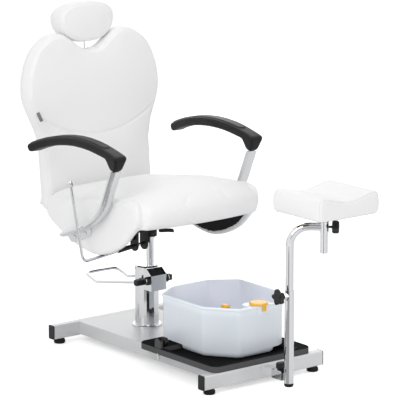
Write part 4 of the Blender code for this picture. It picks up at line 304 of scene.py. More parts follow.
def basin_plastic(name, colour):
    # Injection-moulded polypropylene: glossy and a little cloudy, with flow marks of about 40 mm.
    mat, tree, shader, spot = new_material(name, IOR=1.49, Coat_Weight=0.15, Coat_Roughness=0.12)
    tinted(tree, shader, spot, colour, 0.08, 0.015)
    roughened(tree, shader, spot, 0.04, 0.20, 0.30)
    bumped(tree, shader, noise(tree, spot, 0.04, 2.0), 0.05, 0.002)
    return mat


def stained_ply(colour):
    # Birch plywood stained black: the grain shows as streaks 4 mm apart that run across the chair.
    mat, tree, shader, spot = new_material("black-stained plywood", IOR=1.5)
    long = add_node(tree, "ShaderNodeMapping", {"Vector": spot, "Scale": (0.08, 1.0, 1.0)})
    tinted(tree, shader, long.outputs["Vector"], colour, 0.004, 0.35)
    roughened(tree, shader, long.outputs["Vector"], 0.006, 0.62, 0.78)
    return mat


# Meshes

def merged_copy(*nodes):
    """CAD solids as one bmesh with their loose triangles merged."""
    shape = bmesh.new()
    for node in nodes:
        shape.from_mesh(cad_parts[node].data)
    bmesh.ops.remove_doubles(shape, verts=shape.verts, dist=1e-5)
    return shape


def new_piece(name, shape, body, slot, *materials):
    """Makes a piece from a bmesh, with smooth faces, and lets it ride on a body."""
    mesh = bpy.data.meshes.new(name)
    shape.to_mesh(mesh)
    shape.free()
    for mat in materials:
        mesh.materials.append(mat)
    mesh.shade_smooth()
    obj = bpy.data.objects.new(name, mesh)
    bpy.context.scene.collection.objects.link(obj)
    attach(obj, body)
    return obj


def rounded(shape, edges, radius, segments):
    """Rounds some edges of a bmesh."""
    bmesh.ops.bevel(
        shape, geom=edges, offset=radius, segments=segments, profile=0.5, affect="EDGES", material=-1)


def add_cone(shape, middle, low_radius, high_radius, tall, segments):
    """Adds an upright cone or cylinder to a bmesh and gives its points."""
    cone = bmesh.ops.create_cone(
        shape, cap_ends=True, segments=segments, radius1=low_radius, radius2=high_radius, depth=tall,
        matrix=Matrix.Translation(middle))
    return cone["verts"]


def edges_of(verts):
    """Every edge that meets these points, once."""
    return list(dict.fromkeys(edge for vert in verts for edge in vert.link_edges))


def move_points(mesh, moves):
    """Puts the numbered points of a mesh in new places."""
    for index, spot in moves:
        mesh.vertices[index].co = spot
    mesh.update()


def settle(obj):
    """Bakes a piece's modifiers into its mesh."""
    graph = bpy.context.evaluated_depsgraph_get()
    mesh = bpy.data.meshes.new_from_object(obj.evaluated_get(graph))
    old = obj.data
    obj.modifiers.clear()
    obj.data = mesh
    bpy.data.meshes.remove(old)


def even_out(obj, voxel, passes):
    """Gives a copied solid an even mesh and smooths its facets away."""
    even = obj.modifiers.new("even mesh", "REMESH")
    even.mode = "VOXEL"
    even.voxel_size = voxel
    settle(obj)
    shape = bmesh.new()
    shape.from_mesh(obj.data)
    for _ in range(passes):
        bmesh.ops.smooth_vert(
            shape, verts=shape.verts, factor=0.5, use_axis_x=True, use_axis_y=True, use_axis_z=True)
    shape.to_mesh(obj.data)
    shape.free()


def refine(obj):
    """One subdivision, baked."""
    finer = obj.modifiers.new("finer", "SUBSURF")
    finer.levels = 1
    finer.render_levels = 1
    settle(obj)
    obj.data.shade_smooth()


def swell(obj, amount):
    """Moves every point along its normal."""
    move_points(obj.data, [(vert.index, vert.co + vert.normal * amount) for vert in obj.data.vertices])


def blow_up(obj, held, pressure, cap):
    """Fills a padded piece by cloth simulation, with the held points sewn down and a cap on the travel."""
    scene = bpy.context.scene
    before = [vert.co.copy() for vert in obj.data.vertices]
    sewn = obj.vertex_groups.new(name="sewn")
    sewn.add(held, 1.0, "REPLACE")
    cloth = obj.modifiers.new("padding", "CLOTH")
    rules = cloth.settings
    rules.quality = 4
    rules.mass = 0.3
    rules.tension_stiffness = 15.0
    rules.compression_stiffness = 15.0
    rules.shear_stiffness = 5.0
    rules.bending_stiffness = 1.0
    rules.use_pressure = True
    rules.uniform_pressure_force = pressure
    rules.effector_weights.gravity = 0.0
    rules.vertex_group_mass = "sewn"
    cloth.collision_settings.use_collision = False
    cloth.point_cache.frame_start = 1
    cloth.point_cache.frame_end = CLOTH_FRAMES
    for step in range(1, CLOTH_FRAMES + 1):
        scene.frame_set(step)
    settle(obj)
    scene.frame_set(1)
    for vert, start in zip(obj.data.vertices, before):
        travel = vert.co - start
        if travel.length > cap:
            vert.co = start + travel * (cap / travel.length)
    obj.vertex_groups.clear()
    obj.data.update()


# Seams

def along(points, step):
    """A chain of points resampled at an even step."""
    line = [Vector(point) for point in points]
    spots = [line[0]]
    left = step
    for here, there in zip(line, line[1:]):
        span = (there - here).length
        run = left
        while run <= span:
            spots.append(here.lerp(there, run / span))
            run += step
        left = run - span
    return spots


def laid_on(obj, points):
    """The points moved to the nearest place on a piece's surface."""
    surface = BVHTree.FromObject(obj, bpy.context.evaluated_depsgraph_get())
    return [surface.find_nearest(Vector(point))[0] for point in points]


def search_tree(spots):
    """A tree that finds the nearest of some points."""
    tree = KDTree(len(spots))
    for i, spot in enumerate(spots):
        tree.insert(spot, i)
    tree.balance()
    return tree


def near_line(obj, lines, reach):
    """Numbers of a piece's points that lie near any of the seam lines, with their distance from it."""
    tree = search_tree([spot for line in lines for spot in line])
    gaps = [(vert.index, tree.find(vert.co)[2]) for vert in obj.data.vertices]
    return [(index, gap) for index, gap in gaps if gap < reach]


def sewn_points(obj, lines, reach):
    """Numbers of the points along seam lines, which padding cannot lift."""
    return [index for index, _ in near_line(obj, [laid_on(obj, line) for line in lines], reach)]


def sew_in(obj, lines, depth, width):
    """Draws the surface in along seam lines, with a slight roll on either side."""
    mesh = obj.data
    moves = []
    for index, gap in near_line(obj, lines, width * 5):
        dip = math.exp(-((gap / width) ** 2))
        roll = 0.3 * math.exp(-(((gap - 2.6 * width) / (1.1 * width)) ** 2))
        vert = mesh.vertices[index]
        moves.append((index, vert.co + vert.normal * depth * (roll - dip)))
    move_points(mesh, moves)


def stitch(name, obj, lines, offsets, body, thread):
    """Rows of thread stitches beside seam lines, lying on the piece's surface."""
    sizes = bpy.context.scene.chair_sizes
    surface = BVHTree.FromObject(obj, bpy.context.evaluated_depsgraph_get())
    shape = bmesh.new()
    pitch = sizes.stitch_length + sizes.stitch_gap
    for line in lines:
        spots = along(line, pitch)
        for here, there in zip(spots, spots[1:]):
            run = (there - here).normalized()
            normal = surface.find_nearest(here)[1]
            side = run.cross(normal).normalized()
            for offset in offsets:
                spot, normal = surface.find_nearest(here.lerp(there, 0.5) + side * offset)[:2]
                across = run.cross(normal).normalized()
                lie = Matrix((across, normal.cross(across), normal)).transposed().to_4x4()
                size = Matrix.Diagonal((sizes.thread / 2, sizes.stitch_length / 2, sizes.thread / 2, 1.0))
                place = Matrix.Translation(spot + normal * sizes.thread * 0.15) @ lie @ size
                bmesh.ops.create_icosphere(shape, subdivisions=1, radius=1.0, matrix=place)
    return new_piece(name, shape, body, "white_leatherette", thread)


def back_point(x, depth, height):
    """A point of the backrest: depth runs back from its face, height runs up along it."""
    y = BACK_FACE_Y + depth * math.cos(BACK_TILT) + height * math.sin(BACK_TILT)
    z = BACK_BOTTOM_Z - depth * math.sin(BACK_TILT) + height * math.cos(BACK_TILT)
    return Vector((x, y, z))


def eased(value):
    value = min(max(value, 0.0), 1.0)
    return value * value * (3 - 2 * value)


def back_half_width(height):
    if height < BACK_WIDEST_H:
        share = eased((height - BACK_WAIST_H) / (BACK_WIDEST_H - BACK_WAIST_H))
        return BACK_WAIST + (BACK_WIDEST - BACK_WAIST) * share
    rise = (height - BACK_WIDEST_H) / (BACK_SHOULDER_H - BACK_WIDEST_H)
    return BACK_SHOULDER + (BACK_WIDEST - BACK_SHOULDER) * math.sqrt(max(0.0, 1 - rise * rise))


def back_edge_line(drawn, depth):
    """The backrest's outline from the right foot over both shoulders to the left foot."""
    half = []
    for i in range(41):
        height = BACK_SHOULDER_H * i / 40
        sunk = drawn * max(0.0, height / BACK_SHOULDER_H) ** 6
        half.append((back_half_width(height) - drawn, height - sunk))
    for i in range(1, 21):
        share = i / 20
        x = BACK_SHOULDER * (1 - share)
        notch = eased((x - BACK_NOTCH_FLAT) / (BACK_SHOULDER - BACK_NOTCH_FLAT))
        half.append((x, BACK_NOTCH_H + (BACK_SHOULDER_H - BACK_NOTCH_H) * notch - drawn))
    outline = [(-x, height) for x, height in half] + half[-2::-1]
    return [back_point(x, depth, height) for x, height in outline]


def smile_line():
    """The curved seam across the backrest."""
    line = []
    for i in range(61):
        share = -1 + i / 30
        height = SMILE_MID_H + (SMILE_SIDE_H - SMILE_MID_H) * share * share
        line.append(back_point(share * (back_half_width(SMILE_SIDE_H) - SEAM_GAP), -SEAM_GAP, height))
    return line


def head_line(drawn, depth):
    """A seam round the head pad at this depth."""
    line = []
    for i in range(97):
        angle = 2 * math.pi * i / 96
        side = math.cos(angle)
        rise = math.sin(angle)
        tall = HEAD_TOP if rise > 0 else HEAD_BOTTOM
        reach = (abs(side) ** HEAD_SQUARE + abs(rise) ** HEAD_SQUARE) ** (-1 / HEAD_SQUARE)
        height = HEAD_MID_H + (tall - drawn) * reach * rise
        line.append(back_point((HEAD_HALF - drawn) * reach * side, depth, height))
    return line


# What a user would change

def length(name, description, default, least, most):
    """A length that a user may change."""
    return FloatProperty(
        name=name, description=description, default=default, min=least, max=most, unit="LENGTH")


def tone(name, description, code):
    """A colour that a user may change."""
    return FloatVectorProperty(
        name=name, description=description, default=linear(code), subtype="COLOR", min=0.0, max=1.0)


class ChairSizes(bpy.types.PropertyGroup):
    """Sizes of the sewing and padding."""

    seam_depth: length("Seam depth", "How far a seam draws the leatherette in", 0.0020, 0.0, 0.01)
    seam_width: length("Seam width", "Half-width of the hollow along a seam", 0.0032, 0.001, 0.02)
    stitch_length: length("Stitch length", "Length of one stitch", 0.0045, 0.001, 0.02)
    stitch_gap: length("Stitch gap", "Space between two stitches", 0.0015, 0.0, 0.02)
    thread: length("Thread", "Diameter of the sewing thread", 0.0009, 0.0002, 0.005)
    voxel: length("Cushion mesh", "Edge length of a cushion's mesh when simulated", 0.006, 0.003, 0.02)
    pressure: FloatProperty(
        name="Padding pressure", description="Pressure that fills the cushions",
        default=4.0, min=0.0, max=20.0)


class ChairColours(bpy.types.PropertyGroup):
    """Colours of the chair's finishes."""

    leatherette: tone("Leatherette", "Seat, back, head and foot pads", "#F3F3F3")
    chrome: tone("Chrome", "Tubes, pump, lever and pedal", "#E0E1E3")
    silver: tone("Silver coat", "Base bars and plate", "#DADBDC")
    black: tone("Black plastic", "Knobs, lever sleeve and end caps", "#151516")
    armrest: tone("Armrest skin", "Armrest pads", "#0F0F10")
    bracket: tone("Black coat", "Brackets, hinges and lugs", "#0F0F10")
    rubber: tone("Rubber", "Feet and post cap", "#121212")
    basin: tone("Basin outside", "Outer wall and rim of the basin", "#F0F7FF")
    basin_inside: tone("Basin inside", "Inner wall and floor of the basin", "#F2F5FF")
    yellow: tone("Yellow plastic", "Massage head and dial", "#F5B722")


def colours():
    return bpy.context.scene.chair_colours


def shared(name, maker, *arguments):
    """A material that several operators share, made once."""
    found = bpy.data.materials.get(name)
    return found or maker(*arguments)


def leather():
    return shared("white embossed leatherette", leatherette, colours().leatherette)


def lining():
    return shared("black non-woven dust cover", dust_cover, linear("#141414"))


def thread():
    return shared("white polyester thread", sewing_thread, linear("#EDEDED"))


def paint(mat, *nodes):
    """Gives CAD nodes a material."""
    for node in nodes:
        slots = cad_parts[node].data.materials
        slots.clear()
        slots.append(mat)


# Operators

class CHAIR_OT_metal(bpy.types.Operator):
    """Finish the chromed, silver and black steel pieces"""

    bl_idname = "chair.metal"
    bl_label = "Metal pieces"

    def execute(self, context):
        tones = colours()
        paint(
            chromed_steel(tones.chrome),
            "pump_flange", "pump_cover", "pump_piston", "pump_plunger", "pedal_shaft", "pedal_rod",
            "recline_lever", "lever_knob", "headrest_stem", "clamp_sleeve", "lower_post", "upper_post",
            "rest_stem",
        )
        paint(
            chromed_steel(tones.chrome, "brushed chromium-plated steel", 0.20, 0.28),
            "arm_tube_left", "arm_tube_right",
        )
        paint(silver_coat(tones.silver), "rear_bar", "front_bar", "base_plate", "footrest_receiver")
        paint(
            black_coat(tones.bracket),
            "pump_cylinder", "pedal_lug_left", "pedal_lug_right", "seat_carrier", "recline_bracket",
            "swivel_lock", "headrest_guide", "hinge_bracket_left", "hinge_bracket_right",
            "hinge_strap_left", "hinge_strap_right",
        )
        self.stud()
        return {"FINISHED"}

    def stud(self):
        """The tray clamp's chromed screw end, which shows under the tray's edge below the knob."""
        radius = 0.0055
        tall = 0.020
        inset = 0.0045
        drop = 0.0080
        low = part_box("tray")[0]
        shape = bmesh.new()
        add_cone(shape, (low.x + inset, box_middle("tray_knob").y, low.z - drop), radius, radius, tall, 24)
        ends = [edge for edge in shape.edges if abs(edge.verts[0].co.z - edge.verts[1].co.z) < 0.001]
        rounded(shape, ends, 0.0012, 3)
        chrome = bpy.data.materials["chromium-plated steel"]
        new_piece("tray_clamp_stud", shape, "base", "chrome", chrome)


class CHAIR_OT_mouldings(bpy.types.Operator):
    """Finish the moulded plastic, rubber and board pieces"""

    bl_idname = "chair.mouldings"
    bl_label = "Mouldings and boards"

    def execute(self, context):
        tones = colours()
        paint(
            moulded_black(tones.black),
            "tray_knob", "star_knob", "carrier_knob", "collar_knob", "lever_sleeve", "rear_bar_cap_left",
            "rear_bar_cap_right", "front_bar_cap_left", "front_bar_cap_right",
        )
        paint(tray_sheet(linear("#0D0D0E")), "tray")
        paint(
            black_rubber(tones.rubber),
            "rear_foot_left", "rear_foot_right", "front_foot_left", "front_foot_right", "post_cap",
        )
        paint(stained_ply(linear("#151412")), "seat_board", "rest_board")
        paint(leather(), "back_board")
        paint(basin_plastic("yellow polypropylene", tones.yellow), "massage_head", "basin_dial")
        return {"FINISHED"}


class CHAIR_OT_seat(bpy.types.Operator):
    """Upholster the seat: one cover for the cushion with its rolled front edge and two deep side panels"""

    bl_idname = "chair.seat"
    bl_label = "Seat"

    def execute(self, context):
        sizes = context.scene.chair_sizes
        parts = ("seat_cushion", "seat_side_left", "seat_side_right")
        cover = new_piece(
            "seat_upholstery", merged_copy(*parts), "seat", "white_leatherette", leather(), lining())
        even_out(cover, sizes.voxel * 0.85, 4)
        blow_up(cover, self.held(cover), sizes.pressure * 0.5, SEAT_FILL)
        refine(cover)
        seams = [laid_on(cover, along(self.shoulder(side), SEAM_STEP)) for side in (-1, 1)]
        sew_in(cover, seams, sizes.seam_depth * 0.6, sizes.seam_width)
        self.line_under(cover)
        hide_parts(*parts)
        stitch("seat_stitching", cover, seams, (0.0035,), "seat", thread())
        return {"FINISHED"}

    def shoulder(self, side):
        """The seam that bends over the front of a side panel."""
        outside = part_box("seat_side_left")[1].x
        bend = ((-0.150, 0.552), (-0.184, 0.549), (-0.240, 0.530), (-0.275, 0.505), (-0.290, 0.478))
        return [Vector((side * outside, PUMP.y + y, z)) for y, z in bend]

    def held(self, cover):
        """Points that cannot fill out: the underside, the panels' inner faces and where the arms are."""
        beside = 0.01
        low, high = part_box("arm_tube_left")
        points = []
        for vert in cover.data.vertices:
            out = math.copysign(1.0, vert.co.x)
            under = vert.normal.z < -0.6 or vert.normal.x * out < -0.6
            bolted = vert.normal.x * out > 0.6 and low.y - beside < vert.co.y < high.y + beside
            if under or bolted:
                points.append(vert.index)
        return points

    def line_under(self, cover):
        """Lines the cushion's underside and the panels' inner faces in black, inside a white margin."""
        margin = 0.012
        front_roll = 0.09
        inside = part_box("seat_side_left")[0].x + 0.004
        faces = cover.data.polygons
        tree = search_tree([
            face.center for face in faces if abs(face.center.x) > inside and abs(face.normal.x) < 0.5])
        for face in faces:
            inward = face.normal.x * math.copysign(1.0, face.center.x) < -0.5
            under = face.normal.z < -0.35 and face.center.y > SEAT_FRONT_Y + front_roll
            clear = tree.find(face.center)[2] > margin
            face.material_index = int(clear and (inward or under))


class CHAIR_OT_back(bpy.types.Operator):
    """Upholster the backrest: heart-shaped pad with an edge seam and a curved double seam"""

    bl_idname = "chair.back"
    bl_label = "Backrest"

    def execute(self, context):
        sizes = context.scene.chair_sizes
        pad = new_piece("back_upholstery", merged_copy("backrest"), "back", "white_leatherette", leather())
        even_out(pad, sizes.voxel, 5)
        smile = along(smile_line(), SEAM_STEP)
        edge = along(back_edge_line(SEAM_GAP, SEAM_GAP), SEAM_STEP)
        rear = Vector((0, math.cos(BACK_TILT), -math.sin(BACK_TILT)))
        held = [vert.index for vert in pad.data.vertices if vert.normal.dot(rear) > 0.7]
        held += sewn_points(pad, [smile, edge], sizes.voxel * 0.9)
        blow_up(pad, sorted(set(held)), sizes.pressure, BACK_FILL)
        refine(pad)
        smile = laid_on(pad, smile)
        edge = laid_on(pad, edge)
        sew_in(pad, [smile], sizes.seam_depth, sizes.seam_width)
        sew_in(pad, [edge], sizes.seam_depth * 0.6, sizes.seam_width)
        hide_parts("backrest")
        stitch("back_stitching", pad, [smile], (-0.005, 0.005), "back", thread())
        stitch("back_edge_stitching", pad, [edge], (-0.004, 0.004), "back", thread())
        self.tag(pad)
        return {"FINISHED"}

    def tag(self, pad):
        """A folded tape loop sewn into the right-hand edge seam, lying on the pad's face."""
        height = 0.310
        half = 0.016
        inset = 0.011
        size = (0.011, 0.0030, 0.034, 1.0)
        surface = BVHTree.FromObject(pad, bpy.context.evaluated_depsgraph_get())
        below, middle, above = [
            back_point(inset - back_half_width(level), -SEAM_GAP, level)
            for level in (height - half, height, height + half)
        ]
        spot, normal = surface.find_nearest(middle)[:2]
        side = normal.cross(above - below).normalized()
        lie = Matrix((side, normal, side.cross(normal))).transposed().to_4x4()
        shape = bmesh.new()
        bmesh.ops.create_cube(shape, size=1.0, matrix=Matrix.Diagonal(size))
        rounded(shape, shape.edges[:], 0.0010, 2)
        place = Matrix.Translation(spot + normal * 0.0020) @ lie
        bmesh.ops.transform(shape, matrix=place, verts=shape.verts)
        new_piece("back_tag", shape, "back", "white_leatherette", woven_tape(linear("#7E8082")))


class CHAIR_OT_head(bpy.types.Operator):
    """Upholster the head pad with a seam round its face and one round its rear edge"""

    bl_idname = "chair.head"
    bl_label = "Head pad"

    def execute(self, context):
        sizes = context.scene.chair_sizes
        pad = new_piece(
            "head_upholstery", merged_copy("headrest"), "headrest", "white_leatherette", leather())
        even_out(pad, sizes.voxel * 0.7, 5)
        lines = [
            along(head_line(0.007, HEAD_SETBACK), SEAM_STEP),
            along(head_line(0.006, HEAD_SETBACK + HEAD_DEPTH * 0.82), SEAM_STEP),
        ]
        blow_up(pad, sewn_points(pad, lines, sizes.voxel * 0.6), sizes.pressure, HEAD_FILL)
        refine(pad)
        lines = [laid_on(pad, line) for line in lines]
        sew_in(pad, lines, sizes.seam_depth * 0.7, sizes.seam_width * 0.8)
        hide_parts("headrest")
        stitch("head_stitching", pad, lines, (0.0035,), "headrest", thread())
        return {"FINISHED"}


class CHAIR_OT_foot_pad(bpy.types.Operator):
    """Upholster the saddle-shaped foot pad with piping round its two end faces"""

    bl_idname = "chair.foot_pad"
    bl_label = "Foot pad"

    def execute(self, context):
        sizes = context.scene.chair_sizes
        pad = new_piece(
            "foot_upholstery", merged_copy("rest_cushion"), "rest", "white_leatherette", leather(), lining())
        low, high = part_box("rest_cushion")
        even_out(pad, sizes.voxel * 0.7, 4)
        inset = 0.006
        ends = (low.y + inset, high.y - inset)
        lines = [along(self.rim(low, high, y), SEAM_STEP) for y in ends]
        held = [vert.index for vert in pad.data.vertices if vert.normal.z < -0.7]
        held += sewn_points(pad, lines, sizes.voxel * 0.6)
        blow_up(pad, sorted(set(held)), sizes.pressure, FOOT_FILL)
        refine(pad)
        lines = [laid_on(pad, line) for line in lines]
        sew_in(pad, lines, sizes.seam_depth * 0.5, sizes.seam_width)
        for face in pad.data.polygons:
            face.material_index = int(face.normal.z < -0.8)
        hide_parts("rest_cushion")
        for line, word in zip(lines, ("front", "rear")):
            self.piping(f"foot_piping_{word}", line)
        return {"FINISHED"}

    def rim(self, low, high, y):
        """The end face's outline, up one side, over the saddle and down the other."""
        wide = high.x - low.x
        middle = (low.x + high.x) / 2
        edge = 0.010
        dip = 0.019
        line = [Vector((low.x + 0.004, y, low.z + 0.003)), Vector((low.x + 0.003, y, high.z - edge))]
        for i in range(25):
            share = i / 24
            x = low.x + edge + (wide - 2 * edge) * share
            line.append(Vector((x, y, high.z - dip * math.sin(math.pi * share) ** 1.6)))
        line += [Vector((2 * middle - spot.x, y, spot.z)) for spot in line[1::-1]]
        return line

    def piping(self, name, line):
        """A covered cord, 4.2 mm thick, sewn along the line."""
        curve = bpy.data.curves.new(name, "CURVE")
        curve.dimensions = "3D"
        curve.bevel_depth = 0.0021
        curve.bevel_resolution = 3
        curve.use_fill_caps = True
        spots = along(line, 0.006)
        spline = curve.splines.new("POLY")
        spline.points.add(len(spots) - 1)
        for point, spot in zip(spline.points, spots):
            point.co = (*spot, 1.0)
        tube = bpy.data.objects.new(name, curve)
        bpy.context.scene.collection.objects.link(tube)
        mesh = bpy.data.meshes.new_from_object(tube.evaluated_get(bpy.context.evaluated_depsgraph_get()))
        bpy.data.objects.remove(tube)
        shape = bmesh.new()
        shape.from_mesh(mesh)
        bpy.data.meshes.remove(mesh)
        new_piece(name, shape, "rest", "white_leatherette", leather())


class CHAIR_OT_arm_pads(bpy.types.Operator):
    """Mould the two arched armrest pads with a raised inlay along the top"""

    bl_idname = "chair.arm_pads"
    bl_label = "Armrest pads"

    def execute(self, context):
        skin = foam_skin(colours().armrest)
        for side, word in ((-1, "right"), (1, "left")):
            node = f"arm_pad_{word}"
            pad = new_piece(f"armrest_{word}", merged_copy(node), "seat", "black_plastic", skin)
            even_out(pad, 0.003, 4)
            refine(pad)
            swell(pad, 0.0006)
            self.inlay(pad, side)
            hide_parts(node)
        return {"FINISHED"}

    def inlay(self, pad, side):
        """Raises the strip on top of the pad, which ends in a half-round near the front."""
        half = 0.0165
        rise = 0.0026
        shoulder = 0.0018
        front = ARM_FRONT_Y + 0.050
        rear = ARM_REAR_Y - 0.012
        moves = []
        for vert in pad.data.vertices:
            if vert.normal.z < 0.3:
                continue
            back = max(0.0, (vert.co.y - ARM_CROWN_Y) / (ARM_REAR_Y - ARM_CROWN_Y))
            across = abs(vert.co.x - side * (ARM_X + ARM_FLARE * back * back))
            ahead = max(front - vert.co.y, vert.co.y - rear, 0.0)
            inside = half - math.hypot(across, ahead)
            moves.append((vert.index, vert.co + vert.normal * rise * eased(inside / shoulder)))
        move_points(pad.data, moves)


class CHAIR_OT_basin(bpy.types.Operator):
    """Mould the eight-sided foot basin with its centre post and rim shelf"""

    bl_idname = "chair.basin"
    bl_label = "Foot basin"

    def execute(self, context):
        tones = colours()
        outer = basin_plastic("pale blue polypropylene", tones.basin)
        inner = basin_plastic("lilac-shaded polypropylene", tones.basin_inside)
        low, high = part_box("basin")
        middle = box_middle("massage_head")
        shape = bmesh.new()
        self.tub(shape, middle, low.z, high.z)
        self.fittings(shape, middle, high.z)
        basin = new_piece("foot_basin", shape, "basin", "pale_blue_plastic", outer, inner)
        for face in basin.data.polygons:
            inward = (face.center.x - middle.x) * face.normal.x + (face.center.y - middle.y) * face.normal.y
            floor = face.normal.z > 0.5 and face.center.z < high.z - 0.03
            face.material_index = int(floor or (inward < -0.01 and face.center.z < high.z - 0.004))
        basin.data.set_sharp_from_angle(angle=math.radians(40))
        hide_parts("basin")
        return {"FINISHED"}

    def tub(self, shape, middle, bottom, top):
        """Extrudes the eight-sided plan up the outer wall, over the rim and down the inner wall."""
        half = BASIN_HALF
        plan = (
            (1, -0.467), (1, 0.691), (0.455, 1), (-0.455, 1), (-1, 0.691), (-1, -0.467), (-0.552, -1),
            (0.552, -1),
        )
        corners = [shape.verts.new((x * half.x, y * half.y, bottom)) for x, y in plan]
        shape.faces.new(corners)
        for group, offset in (((corners[0], corners[7]), 0.034), (corners[1:7], 0.011)):
            bmesh.ops.bevel(
                shape, geom=list(group), offset=offset, offset_type="OFFSET", segments=6, profile=0.5,
                affect="VERTICES", material=-1)
        home_x = shape.verts.layers.float.new("home_x")
        home_y = shape.verts.layers.float.new("home_y")
        for vert in shape.verts:
            vert[home_x] = vert.co.x
            vert[home_y] = vert.co.y
        tray_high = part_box("tray")[1]
        foot_x = (tray_high.x - TRAY_FLAT_LEFT - middle.x) / half.x
        foot_y = (tray_high.y - TRAY_FLAT_REAR - middle.y) / half.y
        belly = bottom + 0.0177
        stations = (
            (0.0190, bottom, True), (0.0125, bottom + 0.0016, True), (0.0080, bottom + 0.0058, True),
            (0.0056, bottom + 0.0130, True), (0.0050, belly, True), (0.0049, belly + 0.001, False),
            (0.0047, top - 0.032, False), (0.0036, top - 0.030, False), (0.0036, top - 0.010, False),
            (0.0010, top - 0.0085, False), (0.0004, top - 0.0030, False), (0.0022, top - 0.0004, False),
            (0.0070, top - 0.0004, False), (0.0085, top - 0.003, False), (0.0095, belly + 0.020, False),
            (0.0130, belly + 0.009, False), (0.0220, belly + 0.0045, False),
        )
        face = shape.faces[:][0]
        for count, (shrink, z, foot) in enumerate(stations):
            if count:
                grown = bmesh.ops.extrude_face_region(shape, geom=[face])
                if count > 1:
                    bmesh.ops.delete(shape, geom=[face], context="FACES_ONLY")
                face = [item for item in grown["geom"] if isinstance(item, bmesh.types.BMFace)][0]
            for vert in face.verts:
                x = vert[home_x] * (1 - shrink / half.x)
                y = vert[home_y] * (1 - shrink / half.y)
                vert.co = (x * foot_x if foot and x > 0 else x, y * foot_y if foot and y > 0 else y, z)
        bmesh.ops.translate(shape, verts=shape.verts, vec=(middle.x, middle.y, 0))
        bmesh.ops.recalc_face_normals(shape, faces=shape.faces)

    def fittings(self, shape, middle, top):
        """Adds the centre post and the rim shelf with the dial's pod."""
        sides = 40
        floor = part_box("basin")[0].z + 0.021
        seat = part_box("massage_head")[0].z - 0.0003
        tall = seat - floor
        post = add_cone(shape, (middle.x, middle.y, floor + tall / 2), 0.023, 0.0155, tall, sides)
        crown = [edge for edge in edges_of(post) if edge.calc_length() < 0.01]
        ends = [edge for edge in crown if all(vert.co.z > seat - 0.001 for vert in edge.verts)]
        rounded(shape, ends, 0.002, 3)
        place = Matrix.Translation((middle.x, middle.y - 0.1555, top - 0.018))
        size = Matrix.Diagonal((0.090, 0.052, 0.034, 1))
        ledge = bmesh.ops.create_cube(shape, size=1.0, matrix=place @ size)["verts"]
        upright = [edge for edge in edges_of(ledge) if abs(edge.verts[0].co.z - edge.verts[1].co.z) > 0.02]
        rounded(shape, upright, 0.018, 5)
        pod = (box_middle("basin_dial").x, middle.y - 0.1685, top - 0.0155)
        add_cone(shape, pod, 0.021, 0.0278, 0.032, sides)


